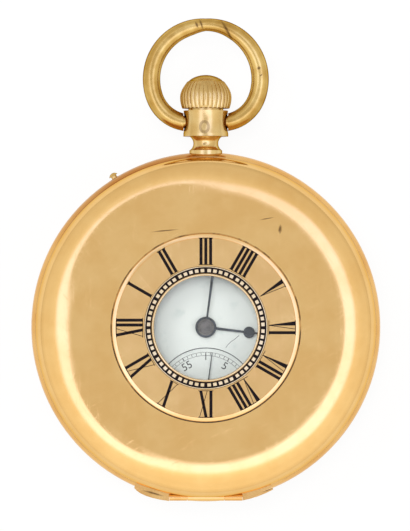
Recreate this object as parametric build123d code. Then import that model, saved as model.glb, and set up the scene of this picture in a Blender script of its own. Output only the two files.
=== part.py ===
from build123d import *
import os
from math import acos, asin, atan2, cos, degrees, pi, radians, sin, sqrt

os.makedirs("parts", exist_ok=True)

# A half hunter pocket watch that lies on its back. Millimetres.
# The origin is the middle of the flat back, +Z looks out of the front lid, +Y points to the pendant.

# Case: overall sizes
case_radius = 25.0
case_thickness = 14.4
middle = case_thickness / 2
overrun = 1.0
running_fit = 0.05
seat_gap = 0.02

# Covers: one turned shell serves as front lid and as back
cover_inset = 0.85
cover_radius = case_radius - cover_inset
cover_wall = 0.5
cover_dome_radius = 8.0
cover_edge_radius = 2.5
cover_dome_turn = 30
cover_edge_turn = 50
cover_gap = 0.05

# Band between the covers
cover_depth = 4.0
band_height = case_thickness - 2 * cover_depth
band_shoulder_inset = 0.65
band_wall = 3.7
plate_seat_width = 0.4
band_shoulder_radius = case_radius - band_shoulder_inset
band_bore_radius = case_radius - band_wall
band_counterbore_radius = band_bore_radius + plate_seat_width
plate_seat_height = 0.6
front_collar_wall = 0.4
front_collar_height = 0.6
back_collar_wall = 0.8
back_collar_height = 0.6
spring_channel_wall = 1.4
spring_channel_radius = case_radius - spring_channel_wall
spring_channel_bottom = 2.5
spring_channel_height = 2.7

# Window and chapter disc of the lid
window_radius = 7.35
chapter_disc_radius = 13.35
chapter_disc_lift = 0.25
chapter_disc_bevel = 0.2
chapter_disc_seat_width = 0.5
window_rim_width = 0.27
lid_glass_overlap = 0.6
lid_glass_thickness = 0.38
lid_glass_lip = 0.3

# Inner cover over the movement
cuvette_inset = 2.2
cuvette_radius = case_radius - cuvette_inset
cuvette_wall = 0.45
cuvette_back_gap = 0.4

# Hinges at the foot of the case
hinge_inset = 0.8
hinge_offset = case_radius - hinge_inset
hinge_radius = 0.5
hinge_pin_radius = 0.22
lid_knuckle_length = 5.2
side_knuckle_length = 2.5
knuckle_gap = 0.1
cuvette_hinge_inset = 2.05
cuvette_hinge_offset = case_radius - cuvette_hinge_inset
cuvette_hinge_radius = 0.35
cuvette_hinge_pin_radius = 0.15
cuvette_hinge_drop = 0.2
cuvette_knuckle_length = 1.8
cuvette_side_knuckle_length = 1.6

# Pendant, its neck and its bore
pendant_foot_radius = 2.35
pendant_foot_depth = 1.0
pendant_foot_height = 0.26
neck_radius = 1.78
neck_middle_height = 1.25
pendant_lip_radius = 3.22
pendant_lip_height = 2.27
pendant_waist_radius = 3.06
pendant_waist_height = 3.95
pendant_top_radius = 3.2
pendant_shoulder_height = 5.95
pendant_tube_radius = 2.5
pendant_tube_height = 7.9
neck_bore_radius = 1.28
sleeve_chamber_radius = 2.05
sleeve_chamber_height = 2.7

# Bow
bow_pivot_height = 4.35
bow_ring_radius = 7.78
bow_ring_centre_height = 10.5
bow_side_thickness = 2.5
bow_top_thickness = 1.8
bow_end_gap = 0.12
bow_trunnion_radius = 0.9
bow_trunnion_depth = 0.55
bow_end_slope = 12
bow_bend_sections = 3
bow_sections = 6

# Crown, push sleeve and winding stem
crown_skirt_height = 6.25
crown_height = 4.83
crown_foot_radius = 3.4
crown_radius = 3.7
crown_widest_height = 1.5
crown_flute_top_height = 3.95
crown_flute_top_radius = 2.75
crown_cap_radius = 2.45
crown_flutes = 32
crown_flute_depth = 0.14
crown_rib_share = 0.5
crown_cap_drop = 0.3
crown_recess_radius = 2.62
crown_recess_depth = 2.85
push_travel = 0.25
sleeve_wall_radius = 1.2
sleeve_flange_radius = 1.98
sleeve_bore_radius = 0.62
sleeve_start_height = -2.2
sleeve_flange_height = 3.25
sleeve_top_height = 8.9
stem_radius = 0.55
stem_square = 0.8
stem_inner_end = 10.7
stem_square_start = 12.2
stem_square_end = 18.6

# Setting pusher, to the left of the pendant
pusher_angle = 121.5
pusher_drop = 1.2
pusher_level = middle - pusher_drop
pusher_head_radius = 0.67
pusher_head_height = 0.4
pusher_stem_radius = 0.42
pusher_inner_end = band_bore_radius - running_fit
pusher_travel = 0.35
setting_lever_span = 16
setting_lever_thickness = 0.7
setting_lever_pivot_radius = 0.75
setting_lever_tip_radius = 0.4
setting_stud_radius = 0.3

# Movement: levels, counted down from the middle of the case or from the underside of the main plate
plate_drop = 0.6
plate_bottom = middle - plate_drop
bridge_room = 4.4
bridge_bottom = plate_bottom - bridge_room
bridge_thickness = 1.4
plate_thickness = 2.0
plate_gap = 0.1
plate_radius = band_bore_radius - plate_gap
plate_flange_radius = band_counterbore_radius - plate_gap
dial_seat_height = 0.9
dial_seat_width = 1.0
bridge_inset = 0.6
bridge_radius = plate_radius - bridge_inset
bridge_wall = 2.3
bridge_split_gap = 0.2
bridge_split_height = 1.4
train_bridge_side = 7.2
balance_room = 6.4
barrel_wall_ends = [4, 78]
barrel_wall_far_ends = [131, 172]
train_wall_ends = [275, 352]
stem_window_width = 4.2
stem_window_start = 12.6
lever_stud_drop = 1.1

# Movement: the going train, tooth counts and distances between arbors
seconds_offset = 10.2
barrel_distance = 9.45
barrel_direction = 150
third_distance = 7.65
fourth_distance = 6.375
escape_distance = 5.28
barrel_teeth = 64
centre_pinion_leaves = 8
centre_teeth = 64
third_pinion_leaves = 8
third_teeth = 60
fourth_pinion_leaves = 8
fourth_teeth = 70
escape_pinion_leaves = 7
escape_teeth = 15
wheel_thickness = 0.3
arbor_radius = 0.32
pivot_radius = 0.16
pivot_length = 0.35
pinion_height = 0.8
third_pinion_height = 0.5
escape_arbor_radius = 0.25

# Tooth form: heights in modules and half widths in pitches
wheel_addendum_share = 0.9
wheel_dedendum_share = 1.2
wheel_root_share = 0.22
wheel_tip_share = 0.10
pinion_addendum_share = 0.6
pinion_dedendum_share = 1.3
pinion_root_share = 0.18
pinion_tip_share = 0.10
rim_width_share = 0.13
spoke_width_share = 0.13
hub_radius_share = 0.2
spokes = 5

# Barrel
barrel_drop = 2.3
barrel_bottom = plate_bottom - barrel_drop
barrel_height = 2.2
barrel_wall = 0.35
barrel_cover_thickness = 0.3
barrel_tooth_height = 0.7
barrel_arbor_radius = 1.4
arbor_journal_radius = 0.7
mainspring_thickness = 0.16
mainspring_pitch = 0.8
mainspring_half_turns = 10
mainspring_start_radius = 2.0
barrel_side_gap = 0.1

# Winding wheels
winding_teeth = 12
winding_pinion_radius = 1.9
winding_pinion_start = 16.4
winding_pinion_length = 1.7
winding_tooth_depth = 0.45
winding_tooth_width_share = 0.34
crown_wheel_distance = 3.27
crown_wheel_teeth = 22
crown_wheel_peg_height = 0.45
crown_wheel_peg_dip = 0.22
crown_wheel_peg_width_share = 0.3
crown_wheel_peg_length = 0.6
crown_wheel_thickness = 0.5
crown_arbor_radius = 1.0
crown_gear_teeth = 18
ratchet_teeth = 36
winding_wheel_drop = 0.55
winding_wheel_bottom = bridge_bottom - winding_wheel_drop
winding_wheel_thickness = 0.45
clutch_radius = 1.4
clutch_start = 13.0
clutch_length = 2.4
clutch_groove_depth = 0.35
clutch_groove_width = 0.6
click_direction = 185
click_reach = 1.9
click_width = 0.7
click_beak_span = 9
click_spring_gap = 8
click_spring_span = 12
click_spring_inset = 0.75
click_spring_width = 0.18

# Escapement and balance
escape_radius = 3.0
escape_tooth_height = 0.85
escape_heel_share = 0.55
escape_tip_share = 0.12
fork_centre_distance = 3.9
balance_distance = 15.3
balance_direction = 226
balance_rim_radius = 5.2
balance_rim_width = 0.55
balance_rim_height = 0.8
balance_drop = 2.7
balance_level = plate_bottom - balance_drop
balance_arm_width = 0.8
balance_arm_thickness = 0.4
timing_screws = 14
timing_screw_radius = 0.24
timing_screw_length = 0.4
staff_radius = 0.35
roller_radius = 1.25
roller_drop = 1.3
roller_level = plate_bottom - roller_drop
roller_thickness = 0.25
impulse_pin_distance = 0.95
impulse_pin_radius = 0.14
fork_drop = 0.88
fork_level = plate_bottom - fork_drop
fork_thickness = 0.25
fork_half_width = 0.22
fork_swing = 5
fork_horn_length = 0.8
fork_horn_width = 0.95
fork_notch_width = 0.4
fork_boss_radius = 0.42
pallet_stone_length = 0.8
pallet_stone_width = 0.34
escapement_gap = 0.08
hairspring_drop = 3.4
hairspring_level = plate_bottom - hairspring_drop
hairspring_height = 0.2
hairspring_pitch = 0.52
hairspring_thickness = 0.09
hairspring_half_turns = 9
hairspring_start_radius = 0.62
collet_radius = 0.5
stud_radius = 0.28
cock_drop = 0.2
cock_bottom = bridge_bottom - cock_drop
cock_thickness = 0.9
cock_end_radius = 1.9
cock_foot_radius = 2.2
cock_foot_distance = 17.3
cock_foot_direction = 193
pallet_cock_drop = 1.65
pallet_cock_level = plate_bottom - pallet_cock_drop
pallet_cock_thickness = 0.4
pallet_cock_reach = 3.2
pallet_cock_radius = 0.75
cock_boss_radius = 1.0
cock_boss_height = 0.25
regulator_radius = 1.6
regulator_thickness = 0.2
regulator_tail = 3.4
regulator_tail_width = 0.35
jewel_radius = 0.62
jewel_thickness = 0.5

# Motion work under the dial
cannon_teeth = 12
minute_wheel_teeth = 36
minute_pinion_leaves = 10
hour_wheel_teeth = 40
motion_distance = 4.08
motion_direction = 35
motion_wheel_thickness = 0.25
cannon_radius = 0.75
centre_post_radius = 0.42
hour_pipe_radius = 1.08
minute_stud_radius = 0.4
minute_pinion_height = 0.4
motion_gap = 0.1

# Dial, glass and hands
dial_inset = 0.25
dial_radius = plate_flange_radius - dial_inset
dial_thickness = 0.7
dial_hole_radius = 1.5
sunk_dial_radius = 7.3
sunk_dial_depth = 0.12
bezel_skirt_wall = 0.45
bezel_height = 1.85
bezel_rim_width = 1.4
bezel_opening_radius = band_counterbore_radius - bezel_rim_width
glass_seat_width = 0.6
dial_glass_radius = bezel_opening_radius + glass_seat_width
dial_glass_thickness = 0.6
dial_glass_rise = 1.4
hand_thickness = 0.14
hour_hand_rise = 0.3
minute_hand_rise = 0.7
seconds_hand_rise = 0.1
hour_hand_turn = -96.8
minute_hand_turn = -7.4
seconds_hand_turn = -7.9
hour_ring_distance = 6.2
hour_ring_radius = 0.82
hour_spade_distance = 10.6
hour_spade_radius = 1.0
hour_hand_length = 12.6
minute_hand_length = 17.6
minute_hand_width = 0.62
hour_stem_width = 0.4
seconds_hand_length = 6.6
seconds_hand_tail = 1.9
seconds_hand_width = 0.22
seconds_boss_radius = 0.5
hour_boss_radius = 1.49
minute_boss_radius = 1.2
minute_boss_height = 0.3
minute_spade_distance = 12.8
minute_spade_radius = 0.62
spade_tip_share = 2.2

# Springs of the lid, in the channel of the band
lid_spring_inset = 2.6
lid_spring_radius = case_radius - lid_spring_inset
lid_spring_width = 0.6
lid_spring_drop = 2.3
lid_spring_level = middle - lid_spring_drop
lid_spring_height = 1.3
lid_spring_finger_width = 0.4
lid_spring_finger_inset = 1.7
lid_spring_finger_radius = case_radius - lid_spring_finger_inset
lid_spring_finger_rise = 0.5
lid_spring_finger_length = 1.3
lock_spring_start = 50
lock_spring_end = 92
lock_finger_angle = 80
fly_spring_start = 212
fly_spring_end = 256
fly_finger_angle = 254
spring_pad_radius = 0.75
spring_pad_width = 2.0

# Screws
screw_head_radius = 0.8
screw_head_height = 0.35
screw_shank_radius = 0.45
screw_slot_width = 0.22
screw_slot_depth = 0.15
screw_length = 4.9
screw_circle_radius = bridge_radius - bridge_wall / 2
barrel_bridge_screws = [25, 60, 140]
train_bridge_screws = [285, 340]

# Places that follow from the sizes
band_top = middle + band_height / 2
band_bottom = middle - band_height / 2
plate_top = plate_bottom + plate_thickness
plate_seat = plate_top - plate_seat_height
dial_bottom = plate_top + dial_seat_height
dial_top = dial_bottom + dial_thickness
hour_hand_level = dial_top + hour_hand_rise
minute_hand_level = dial_top + minute_hand_rise
seconds_hand_level = dial_top + seconds_hand_rise
cannon_top = minute_hand_level + hand_thickness / 2
bridge_top = bridge_bottom + bridge_thickness


def polar(distance, direction):
    """A point in the plane of the movement."""
    return (distance * cos(radians(direction)), distance * sin(radians(direction)))


def bearing(start, end):
    """Direction from one point to another, in degrees."""
    return degrees(atan2(end[1] - start[1], end[0] - start[0]))


def meeting_point(start, start_distance, end, end_distance, side):
    """The point at two given distances from two others, to the left (1) or right (-1) of their line."""
    apart = sqrt((end[0] - start[0]) ** 2 + (end[1] - start[1]) ** 2)
    along = (start_distance**2 - end_distance**2 + apart**2) / (2 * apart)
    turn = side * degrees(acos(along / start_distance))
    offset = polar(start_distance, bearing(start, end) + turn)
    return (start[0] + offset[0], start[1] + offset[1])


centre = (0, 0)
fourth = (0, -seconds_offset)
barrel = polar(barrel_distance, barrel_direction)
third = meeting_point(centre, third_distance, fourth, fourth_distance, 1)
balance = polar(balance_distance, balance_direction)
escape_fork_distance = escape_radius / cos(radians(30))
escape = meeting_point(fourth, escape_distance, balance, escape_fork_distance + fork_centre_distance, -1)
fork_direction = bearing(escape, balance)
fork_offset = polar(escape_fork_distance, fork_direction)
fork = (escape[0] + fork_offset[0], escape[1] + fork_offset[1])
winding_mesh = winding_pinion_start + winding_pinion_length / 2
crown_centre = (0, winding_mesh - crown_wheel_distance)
minute_offset = polar(motion_distance, motion_direction)


# Drawing helpers
def face_of(*edges):
    """A face inside a closed run of edges."""
    return make_face(Wire(edges))


def polygon(points):
    """A face inside straight lines."""
    return make_face(Polyline(*points, close=True))


def cap_arc(radius, base, height):
    """Half the outline of a domed cap: from its edge to its top on the axis."""
    ball = (radius**2 + height**2) / (2 * height)
    half_span = asin(radius / ball) / 2
    half_way = (ball * sin(half_span), base + height - ball + ball * cos(half_span))
    return ThreePointArc((radius, base), half_way, (0, base + height))


def turned(face):
    """A solid of revolution about the axis of the case, from a face drawn as radius and height."""
    return revolve(Plane.XZ * face, Axis.Z, 360)


def turned_on_pendant(face):
    """A solid of revolution about the axis of the winding stem, from a face drawn as radius and height."""
    return Pos(0, 0, middle) * revolve(face, Axis.Y, 360)


def disc(point, radius, bottom, height):
    """An upright cylinder from its bottom level."""
    return Pos(point[0], point[1], bottom) * extrude(Circle(radius), height)


def ring(point, outer, inner, bottom, height):
    """An upright ring from its bottom level."""
    return Pos(point[0], point[1], bottom) * extrude(Circle(outer) - Circle(inner), height)


def rod(radius, start, end, level=middle):
    """A cylinder along Y."""
    return Pos(0, start, level) * Rot(-90, 0, 0) * extrude(Circle(radius), end - start)


def sector(inner, outer, first, last):
    """A flat piece of a ring between two directions."""
    reach = outer / cos(radians((last - first) / 4))
    halfway = (first + last) / 2
    wedge = polygon([centre, polar(reach, first), polar(reach, halfway), polar(reach, last)])
    return (Circle(outer) - Circle(inner)) & wedge


def link(first, first_radius, last, last_radius):
    """A flat bar that tapers from one round end to another."""
    ends = Pos(*first) * Circle(first_radius) + Pos(*last) * Circle(last_radius)
    return make_hull(ends.edges())


def write(name, shape):
    """One node of the watch, in its own file."""
    solids = shape.solids()
    export_step(solids[0] if len(solids) == 1 else Compound(children=list(solids)), f"parts/{name}.step")


# Front lid, back and inner cover
def cover_section(radius, wall, opening, level, rim_level, heading):
    """Section of a turned cover: flat middle, gentle dome, tight edge, short rim.

    Heading is 1 for a cover that faces up and -1 for one that faces down.
    """
    full_turn = cover_dome_turn + cover_edge_turn
    dome_reach = cover_dome_radius * sin(radians(cover_dome_turn))
    edge_reach = cover_edge_radius * (sin(radians(full_turn)) - sin(radians(cover_dome_turn)))
    flat = radius - dome_reach - edge_reach
    sides = []
    for inset in (0, wall):
        height = level - heading * inset
        first = Line((opening, height), (flat, height))
        dome = JernArc(first @ 1, (1, 0), cover_dome_radius - inset, -heading * cover_dome_turn)
        edge = JernArc(dome @ 1, dome % 1, cover_edge_radius - inset, -heading * cover_edge_turn)
        rim = Line(edge @ 1, ((edge @ 1).X, rim_level))
        sides.append([first, dome, edge, rim])
    outside, inside = sides
    foot = Line(outside[-1] @ 1, inside[-1] @ 1)
    mouth = Line(outside[0] @ 0, inside[0] @ 0)
    return face_of(*outside, foot, *inside, mouth)


def hinge_barrel(radius, offset, level, start, end):
    """A hinge knuckle along X, before its pin hole is drilled."""
    return Pos(start, -offset, level) * Rot(0, 90, 0) * extrude(Circle(radius), end - start)


def hinge_room(radius, offset, level, start, end):
    """The room that a knuckle needs to turn in."""
    return Pos(start, -offset, level) * Rot(0, 90, 0) * extrude(Circle(radius + knuckle_gap), end - start)


lid_hinge_level = band_top + cover_gap
back_hinge_level = band_bottom - cover_gap
cuvette_hinge_level = band_bottom - cuvette_hinge_drop
middle_half = lid_knuckle_length / 2
side_start = middle_half + knuckle_gap
side_end = side_start + side_knuckle_length
cuvette_middle_half = cuvette_knuckle_length / 2
cuvette_side_start = cuvette_middle_half + knuckle_gap
cuvette_side_end = cuvette_side_start + cuvette_side_knuckle_length


def hinged_cover(shell, level):
    """A lid or back with its middle knuckle and room for the knuckles of the band."""
    for side in (-1, 1):
        start = side_start - knuckle_gap / 2 if side == 1 else -side_end - knuckle_gap
        end = start + side_knuckle_length + knuckle_gap + knuckle_gap / 2
        shell -= hinge_room(hinge_radius, hinge_offset, level, start, end)
    shell += hinge_barrel(hinge_radius, hinge_offset, level, -middle_half, middle_half)
    pin_hole = hinge_pin_radius + running_fit
    bore = Pos(-middle_half - overrun, -hinge_offset, level) * Rot(0, 90, 0)
    return shell - bore * extrude(Circle(pin_hole), lid_knuckle_length + 2 * overrun)


def front_lid():
    opening = chapter_disc_radius - chapter_disc_seat_width
    rim_level = band_top + cover_gap
    shell = turned(cover_section(cover_radius, cover_wall, opening, case_thickness, rim_level, 1))
    return hinged_cover(shell, lid_hinge_level)


def back_cover():
    rim_level = band_bottom - cover_gap
    shell = turned(cover_section(cover_radius, cover_wall, 0, 0, rim_level, -1))
    return hinged_cover(shell, back_hinge_level)


def cuvette():
    level = cover_wall + cuvette_back_gap
    rim_level = band_bottom - cover_gap
    shell = turned(cover_section(cuvette_radius, cuvette_wall, 0, level, rim_level, -1))
    for side in (-1, 1):
        start = cuvette_side_start - knuckle_gap / 2 if side == 1 else -cuvette_side_end - knuckle_gap
        end = start + cuvette_side_knuckle_length + knuckle_gap + knuckle_gap / 2
        shell -= hinge_room(cuvette_hinge_radius, cuvette_hinge_offset, cuvette_hinge_level, start, end)
    half = cuvette_middle_half
    shell += hinge_barrel(cuvette_hinge_radius, cuvette_hinge_offset, cuvette_hinge_level, -half, half)
    pin_hole = cuvette_hinge_pin_radius + running_fit
    bore = Pos(-half - overrun, -cuvette_hinge_offset, cuvette_hinge_level) * Rot(0, 90, 0)
    return shell - bore * extrude(Circle(pin_hole), cuvette_knuckle_length + 2 * overrun)


def chapter_disc():
    """The disc round the window: bevelled outside, with a fine raised rim at the glass."""
    top = case_thickness + chapter_disc_lift
    seat = chapter_disc_radius - chapter_disc_seat_width - seat_gap
    under = case_thickness - cover_wall
    glass_seat = window_radius + lid_glass_overlap + seat_gap
    lip_level = top - lid_glass_lip
    rim = window_radius + window_rim_width
    rim_top = top + chapter_disc_bevel / 2
    section = polygon([
        (window_radius, lip_level),
        (window_radius, top),
        (window_radius + window_rim_width / 2, rim_top),
        (rim, top),
        (chapter_disc_radius - chapter_disc_bevel, top),
        (chapter_disc_radius, top - chapter_disc_bevel),
        (chapter_disc_radius, case_thickness),
        (seat, case_thickness),
        (seat, under),
        (glass_seat, under),
        (glass_seat, lip_level),
    ])
    return turned(section)


def lid_glass():
    top = case_thickness + chapter_disc_lift - lid_glass_lip
    return disc(centre, window_radius + lid_glass_overlap, top - lid_glass_thickness, lid_glass_thickness)


# Band of the case
def along_ray(solid, direction, start, level):
    """Lays a solid drawn along +Z from zero out along a direction, from a distance and level."""
    return Rot(0, 0, direction) * Pos(start, 0, level) * Rot(0, 90, 0) * solid


def finger_slot(direction):
    """The slot through which a lid spring reaches up to the lid."""
    half_angle = degrees((lid_spring_finger_length / 2 + 2 * knuckle_gap) / lid_spring_finger_radius)
    inner = lid_spring_finger_radius - lid_spring_finger_width / 2 - push_travel
    slot = sector(inner, spring_channel_radius, direction - half_angle, direction + half_angle)
    return Pos(0, 0, middle) * extrude(slot, band_height)


def case_band():
    collar = band_counterbore_radius + front_collar_wall
    back_collar = band_bore_radius + back_collar_wall
    outside = ThreePointArc(
        (band_shoulder_radius, band_bottom), (case_radius, middle), (band_shoulder_radius, band_top)
    )
    inside = Polyline(
        (band_shoulder_radius, band_top),
        (collar, band_top),
        (collar, band_top + front_collar_height),
        (band_counterbore_radius, band_top + front_collar_height),
        (band_counterbore_radius, plate_seat),
        (band_bore_radius, plate_seat),
        (band_bore_radius, band_bottom - back_collar_height),
        (back_collar, band_bottom - back_collar_height),
        (back_collar, band_bottom),
        (band_shoulder_radius, band_bottom),
    )
    band = turned(make_face([outside, inside]))
    channel_base = middle - spring_channel_bottom
    band -= ring(centre, spring_channel_radius, band_bore_radius - overrun, channel_base, spring_channel_height)
    pocket_start = case_radius - pendant_foot_depth
    band -= rod(pendant_foot_radius + seat_gap, pocket_start, case_radius + overrun)
    band -= rod(neck_bore_radius, band_bore_radius - overrun, case_radius)
    band -= finger_slot(lock_finger_angle)
    band -= finger_slot(fly_finger_angle)
    stem_hole = extrude(Circle(pusher_stem_radius + running_fit), case_radius)
    band -= along_ray(stem_hole, pusher_angle, band_bore_radius - overrun, pusher_level)
    for level in (lid_hinge_level, back_hinge_level):
        reach = middle_half + knuckle_gap / 2
        band -= hinge_room(hinge_radius, hinge_offset, level, -reach, reach)
        for start in (side_start, -side_end):
            end = start + side_knuckle_length
            band += hinge_barrel(hinge_radius, hinge_offset, level, start, end)
        pin_hole = Circle(hinge_pin_radius)
        bore = Pos(-side_end - overrun, -hinge_offset, level) * Rot(0, 90, 0)
        band -= bore * extrude(pin_hole, 2 * (side_end + overrun))
    reach = cuvette_middle_half + knuckle_gap / 2
    band -= hinge_room(cuvette_hinge_radius, cuvette_hinge_offset, cuvette_hinge_level, -reach, reach)
    for start in (cuvette_side_start, -cuvette_side_end):
        end = start + cuvette_side_knuckle_length
        band += hinge_barrel(cuvette_hinge_radius, cuvette_hinge_offset, cuvette_hinge_level, start, end)
    bore = Pos(-cuvette_side_end - overrun, -cuvette_hinge_offset, cuvette_hinge_level) * Rot(0, 90, 0)
    return band - bore * extrude(Circle(cuvette_hinge_pin_radius), 2 * (cuvette_side_end + overrun))


def hinge_pin(radius, half_length, offset, level):
    pin = Rot(0, 90, 0) * extrude(Circle(radius), 2 * half_length)
    return Pos(-half_length, -offset, level) * pin


def hinge_pins():
    lid_pin = hinge_pin(hinge_pin_radius, side_end, hinge_offset, lid_hinge_level)
    return lid_pin + hinge_pin(hinge_pin_radius, side_end, hinge_offset, back_hinge_level)


def cuvette_hinge_pin():
    return hinge_pin(cuvette_hinge_pin_radius, cuvette_side_end, cuvette_hinge_offset, cuvette_hinge_level)


def lid_spring(start, end, finger_angle, pad_angle):
    """A strip spring in the channel of the band, with a finger up to the lid and a pad for its screw."""
    inner = lid_spring_radius - lid_spring_width / 2
    outer = lid_spring_radius + lid_spring_width / 2
    finger_half = degrees(lid_spring_finger_length / 2 / lid_spring_finger_radius)
    finger_inner = lid_spring_finger_radius - lid_spring_finger_width / 2
    finger_outer = lid_spring_finger_radius + lid_spring_finger_width / 2
    strip = extrude(sector(inner, outer, start, end), lid_spring_height)
    foot = sector(lid_spring_radius, finger_outer, finger_angle - finger_half, finger_angle + finger_half)
    finger = sector(finger_inner, finger_outer, finger_angle - finger_half, finger_angle + finger_half)
    pad_half = degrees(spring_pad_width / 2 / lid_spring_radius)
    pad_outer = spring_channel_radius - running_fit
    pad = sector(inner, pad_outer, pad_angle - pad_half, pad_angle + pad_half)
    spring = strip + extrude(foot, lid_spring_height) + extrude(pad, lid_spring_height)
    spring += extrude(finger, band_top + lid_spring_finger_rise - lid_spring_level)
    return Pos(0, 0, lid_spring_level) * spring


def lock_spring():
    return lid_spring(lock_spring_start, lock_spring_end, lock_finger_angle, lock_spring_start)


def fly_spring():
    return lid_spring(fly_spring_start, fly_spring_end, fly_finger_angle, fly_spring_start)


def inner_bezel():
    """The ring that snaps over the collar of the band and holds the dial glass."""
    base = band_top + cover_gap
    top = base + bezel_height
    collar = band_counterbore_radius + front_collar_wall + running_fit
    skirt = collar + bezel_skirt_wall
    over_collar = band_top + front_collar_height + seat_gap
    lining = band_counterbore_radius - running_fit
    glass_level = dial_top + dial_glass_rise
    lining_foot = dial_top + bezel_skirt_wall / 2
    glass_seat = dial_glass_radius + seat_gap
    section = polygon([
        (bezel_opening_radius, lining_foot),
        (lining, lining_foot),
        (lining, over_collar),
        (collar, over_collar),
        (collar, base),
        (skirt, base),
        (skirt, top - bezel_skirt_wall),
        (skirt - bezel_skirt_wall, top),
        (glass_seat, top),
        (glass_seat, glass_level),
        (bezel_opening_radius, glass_level),
    ])
    return turned(section)


def dial_glass():
    level = dial_top + dial_glass_rise + seat_gap
    glass = disc(centre, dial_glass_radius, level, dial_glass_thickness)
    return chamfer(glass.edges().group_by(Axis.Z)[-1], dial_glass_thickness / 3)


# Pendant, bow, crown and stem
def pendant():
    foot = case_radius - pendant_foot_depth
    flange = case_radius + pendant_foot_height
    neck = case_radius + neck_middle_height
    lip = case_radius + pendant_lip_height
    waist = case_radius + pendant_waist_height
    shoulder = case_radius + pendant_shoulder_height
    top = case_radius + pendant_tube_height
    chamber = case_radius + sleeve_chamber_height
    lip_thickness = (waist - lip) / 4
    outside = [
        Line((neck_bore_radius, foot), (pendant_foot_radius, foot)),
        Line((pendant_foot_radius, foot), (pendant_foot_radius, flange)),
        ThreePointArc((pendant_foot_radius, flange), (neck_radius, neck), (pendant_foot_radius, lip)),
        Line((pendant_foot_radius, lip), (pendant_lip_radius, lip)),
        Line((pendant_lip_radius, lip), (pendant_lip_radius, lip + lip_thickness)),
        ThreePointArc(
            (pendant_lip_radius, lip + lip_thickness), (pendant_waist_radius, waist), (pendant_top_radius, shoulder)
        ),
        Line((pendant_top_radius, shoulder), (pendant_tube_radius, shoulder)),
        Line((pendant_tube_radius, shoulder), (pendant_tube_radius, top)),
        Line((pendant_tube_radius, top), (sleeve_chamber_radius, top)),
        Line((sleeve_chamber_radius, top), (sleeve_chamber_radius, chamber)),
        Line((sleeve_chamber_radius, chamber), (neck_bore_radius, chamber)),
        Line((neck_bore_radius, chamber), (neck_bore_radius, foot)),
    ]
    body = turned_on_pendant(face_of(*outside))
    socket = Rot(0, 90, 0) * extrude(Circle(bow_trunnion_radius + running_fit), bow_trunnion_depth + overrun)
    socket_start = pendant_waist_radius - bow_trunnion_depth
    bow_level = case_radius + bow_pivot_height
    body -= Pos(socket_start, bow_level, middle) * socket
    return body - Pos(-socket_start, bow_level, middle) * mirror(socket, Plane.YZ)


def bar_section(path, along, radius):
    """A round section of the bow across its path."""
    point = path @ along
    heading = path % along
    place = Plane(origin=(point.X, point.Y, middle), x_dir=(0, 0, 1), z_dir=(heading.X, heading.Y, 0))
    return place * Circle(radius)


def bow():
    """A ring of round bar, worn thin at the top, whose ends are cut flat beside the pendant."""
    rise = bow_ring_centre_height - bow_pivot_height
    start = pendant_top_radius + bow_end_gap
    slope = (cos(radians(bow_end_slope)), sin(radians(bow_end_slope)))
    reach = start * slope[1] + rise * slope[0]
    bend = (bow_ring_radius**2 - start**2 - rise**2) / (2 * (bow_ring_radius - reach))
    bend_end = degrees(atan2(start - bend * slope[1], rise - bend * slope[0]))
    pivot = (start, case_radius + bow_pivot_height)
    half_top = bow_top_thickness / 2
    half_side = bow_side_thickness / 2
    root = Line((pivot[0] - half_side * slope[0], pivot[1] - half_side * slope[1]), pivot)
    shoulder = JernArc(pivot, slope, bend, bend_end - bow_end_slope)
    side = JernArc(shoulder @ 1, shoulder % 1, bow_ring_radius, 180 - bend_end)
    side_share = (90 - bend_end) / (180 - bend_end)
    sections = [bar_section(root, 0, half_side)]
    for step in range(bow_bend_sections):
        sections.append(bar_section(shoulder, step / bow_bend_sections, half_side))
    for step in range(bow_sections + 1):
        along = step / bow_sections
        worn = max(0, (along - side_share) / (1 - side_share))
        sections.append(bar_section(side, along, half_side - (half_side - half_top) * worn**2))
    half = loft(sections)
    room = extrude(Rectangle(2 * start, 2 * bow_side_thickness), bow_side_thickness, both=True)
    half -= Pos(0, pivot[1] - bow_side_thickness / 2, middle) * room
    trunnion_start = pendant_waist_radius - bow_trunnion_depth + running_fit
    trunnion = extrude(Circle(bow_trunnion_radius), start - trunnion_start)
    half += Pos(trunnion_start, pivot[1], middle) * Rot(0, 90, 0) * trunnion
    return half + mirror(half, Plane.YZ)


def grip_section(inset, foot, widest, flute_top):
    """Half section of the crown's grip, its bulging side drawn in by an inset."""
    side = ThreePointArc((crown_foot_radius - inset, foot), (crown_radius - inset, widest),
                         (crown_flute_top_radius - inset, flute_top))
    recess = foot + crown_recess_depth
    return face_of(
        Line((crown_recess_radius, foot), side @ 0),
        side,
        Line(side @ 1, (0, flute_top)),
        Line((0, flute_top), (0, recess)),
        Line((0, recess), (crown_recess_radius, recess)),
        Line((crown_recess_radius, recess), (crown_recess_radius, foot)),
    )


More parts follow.
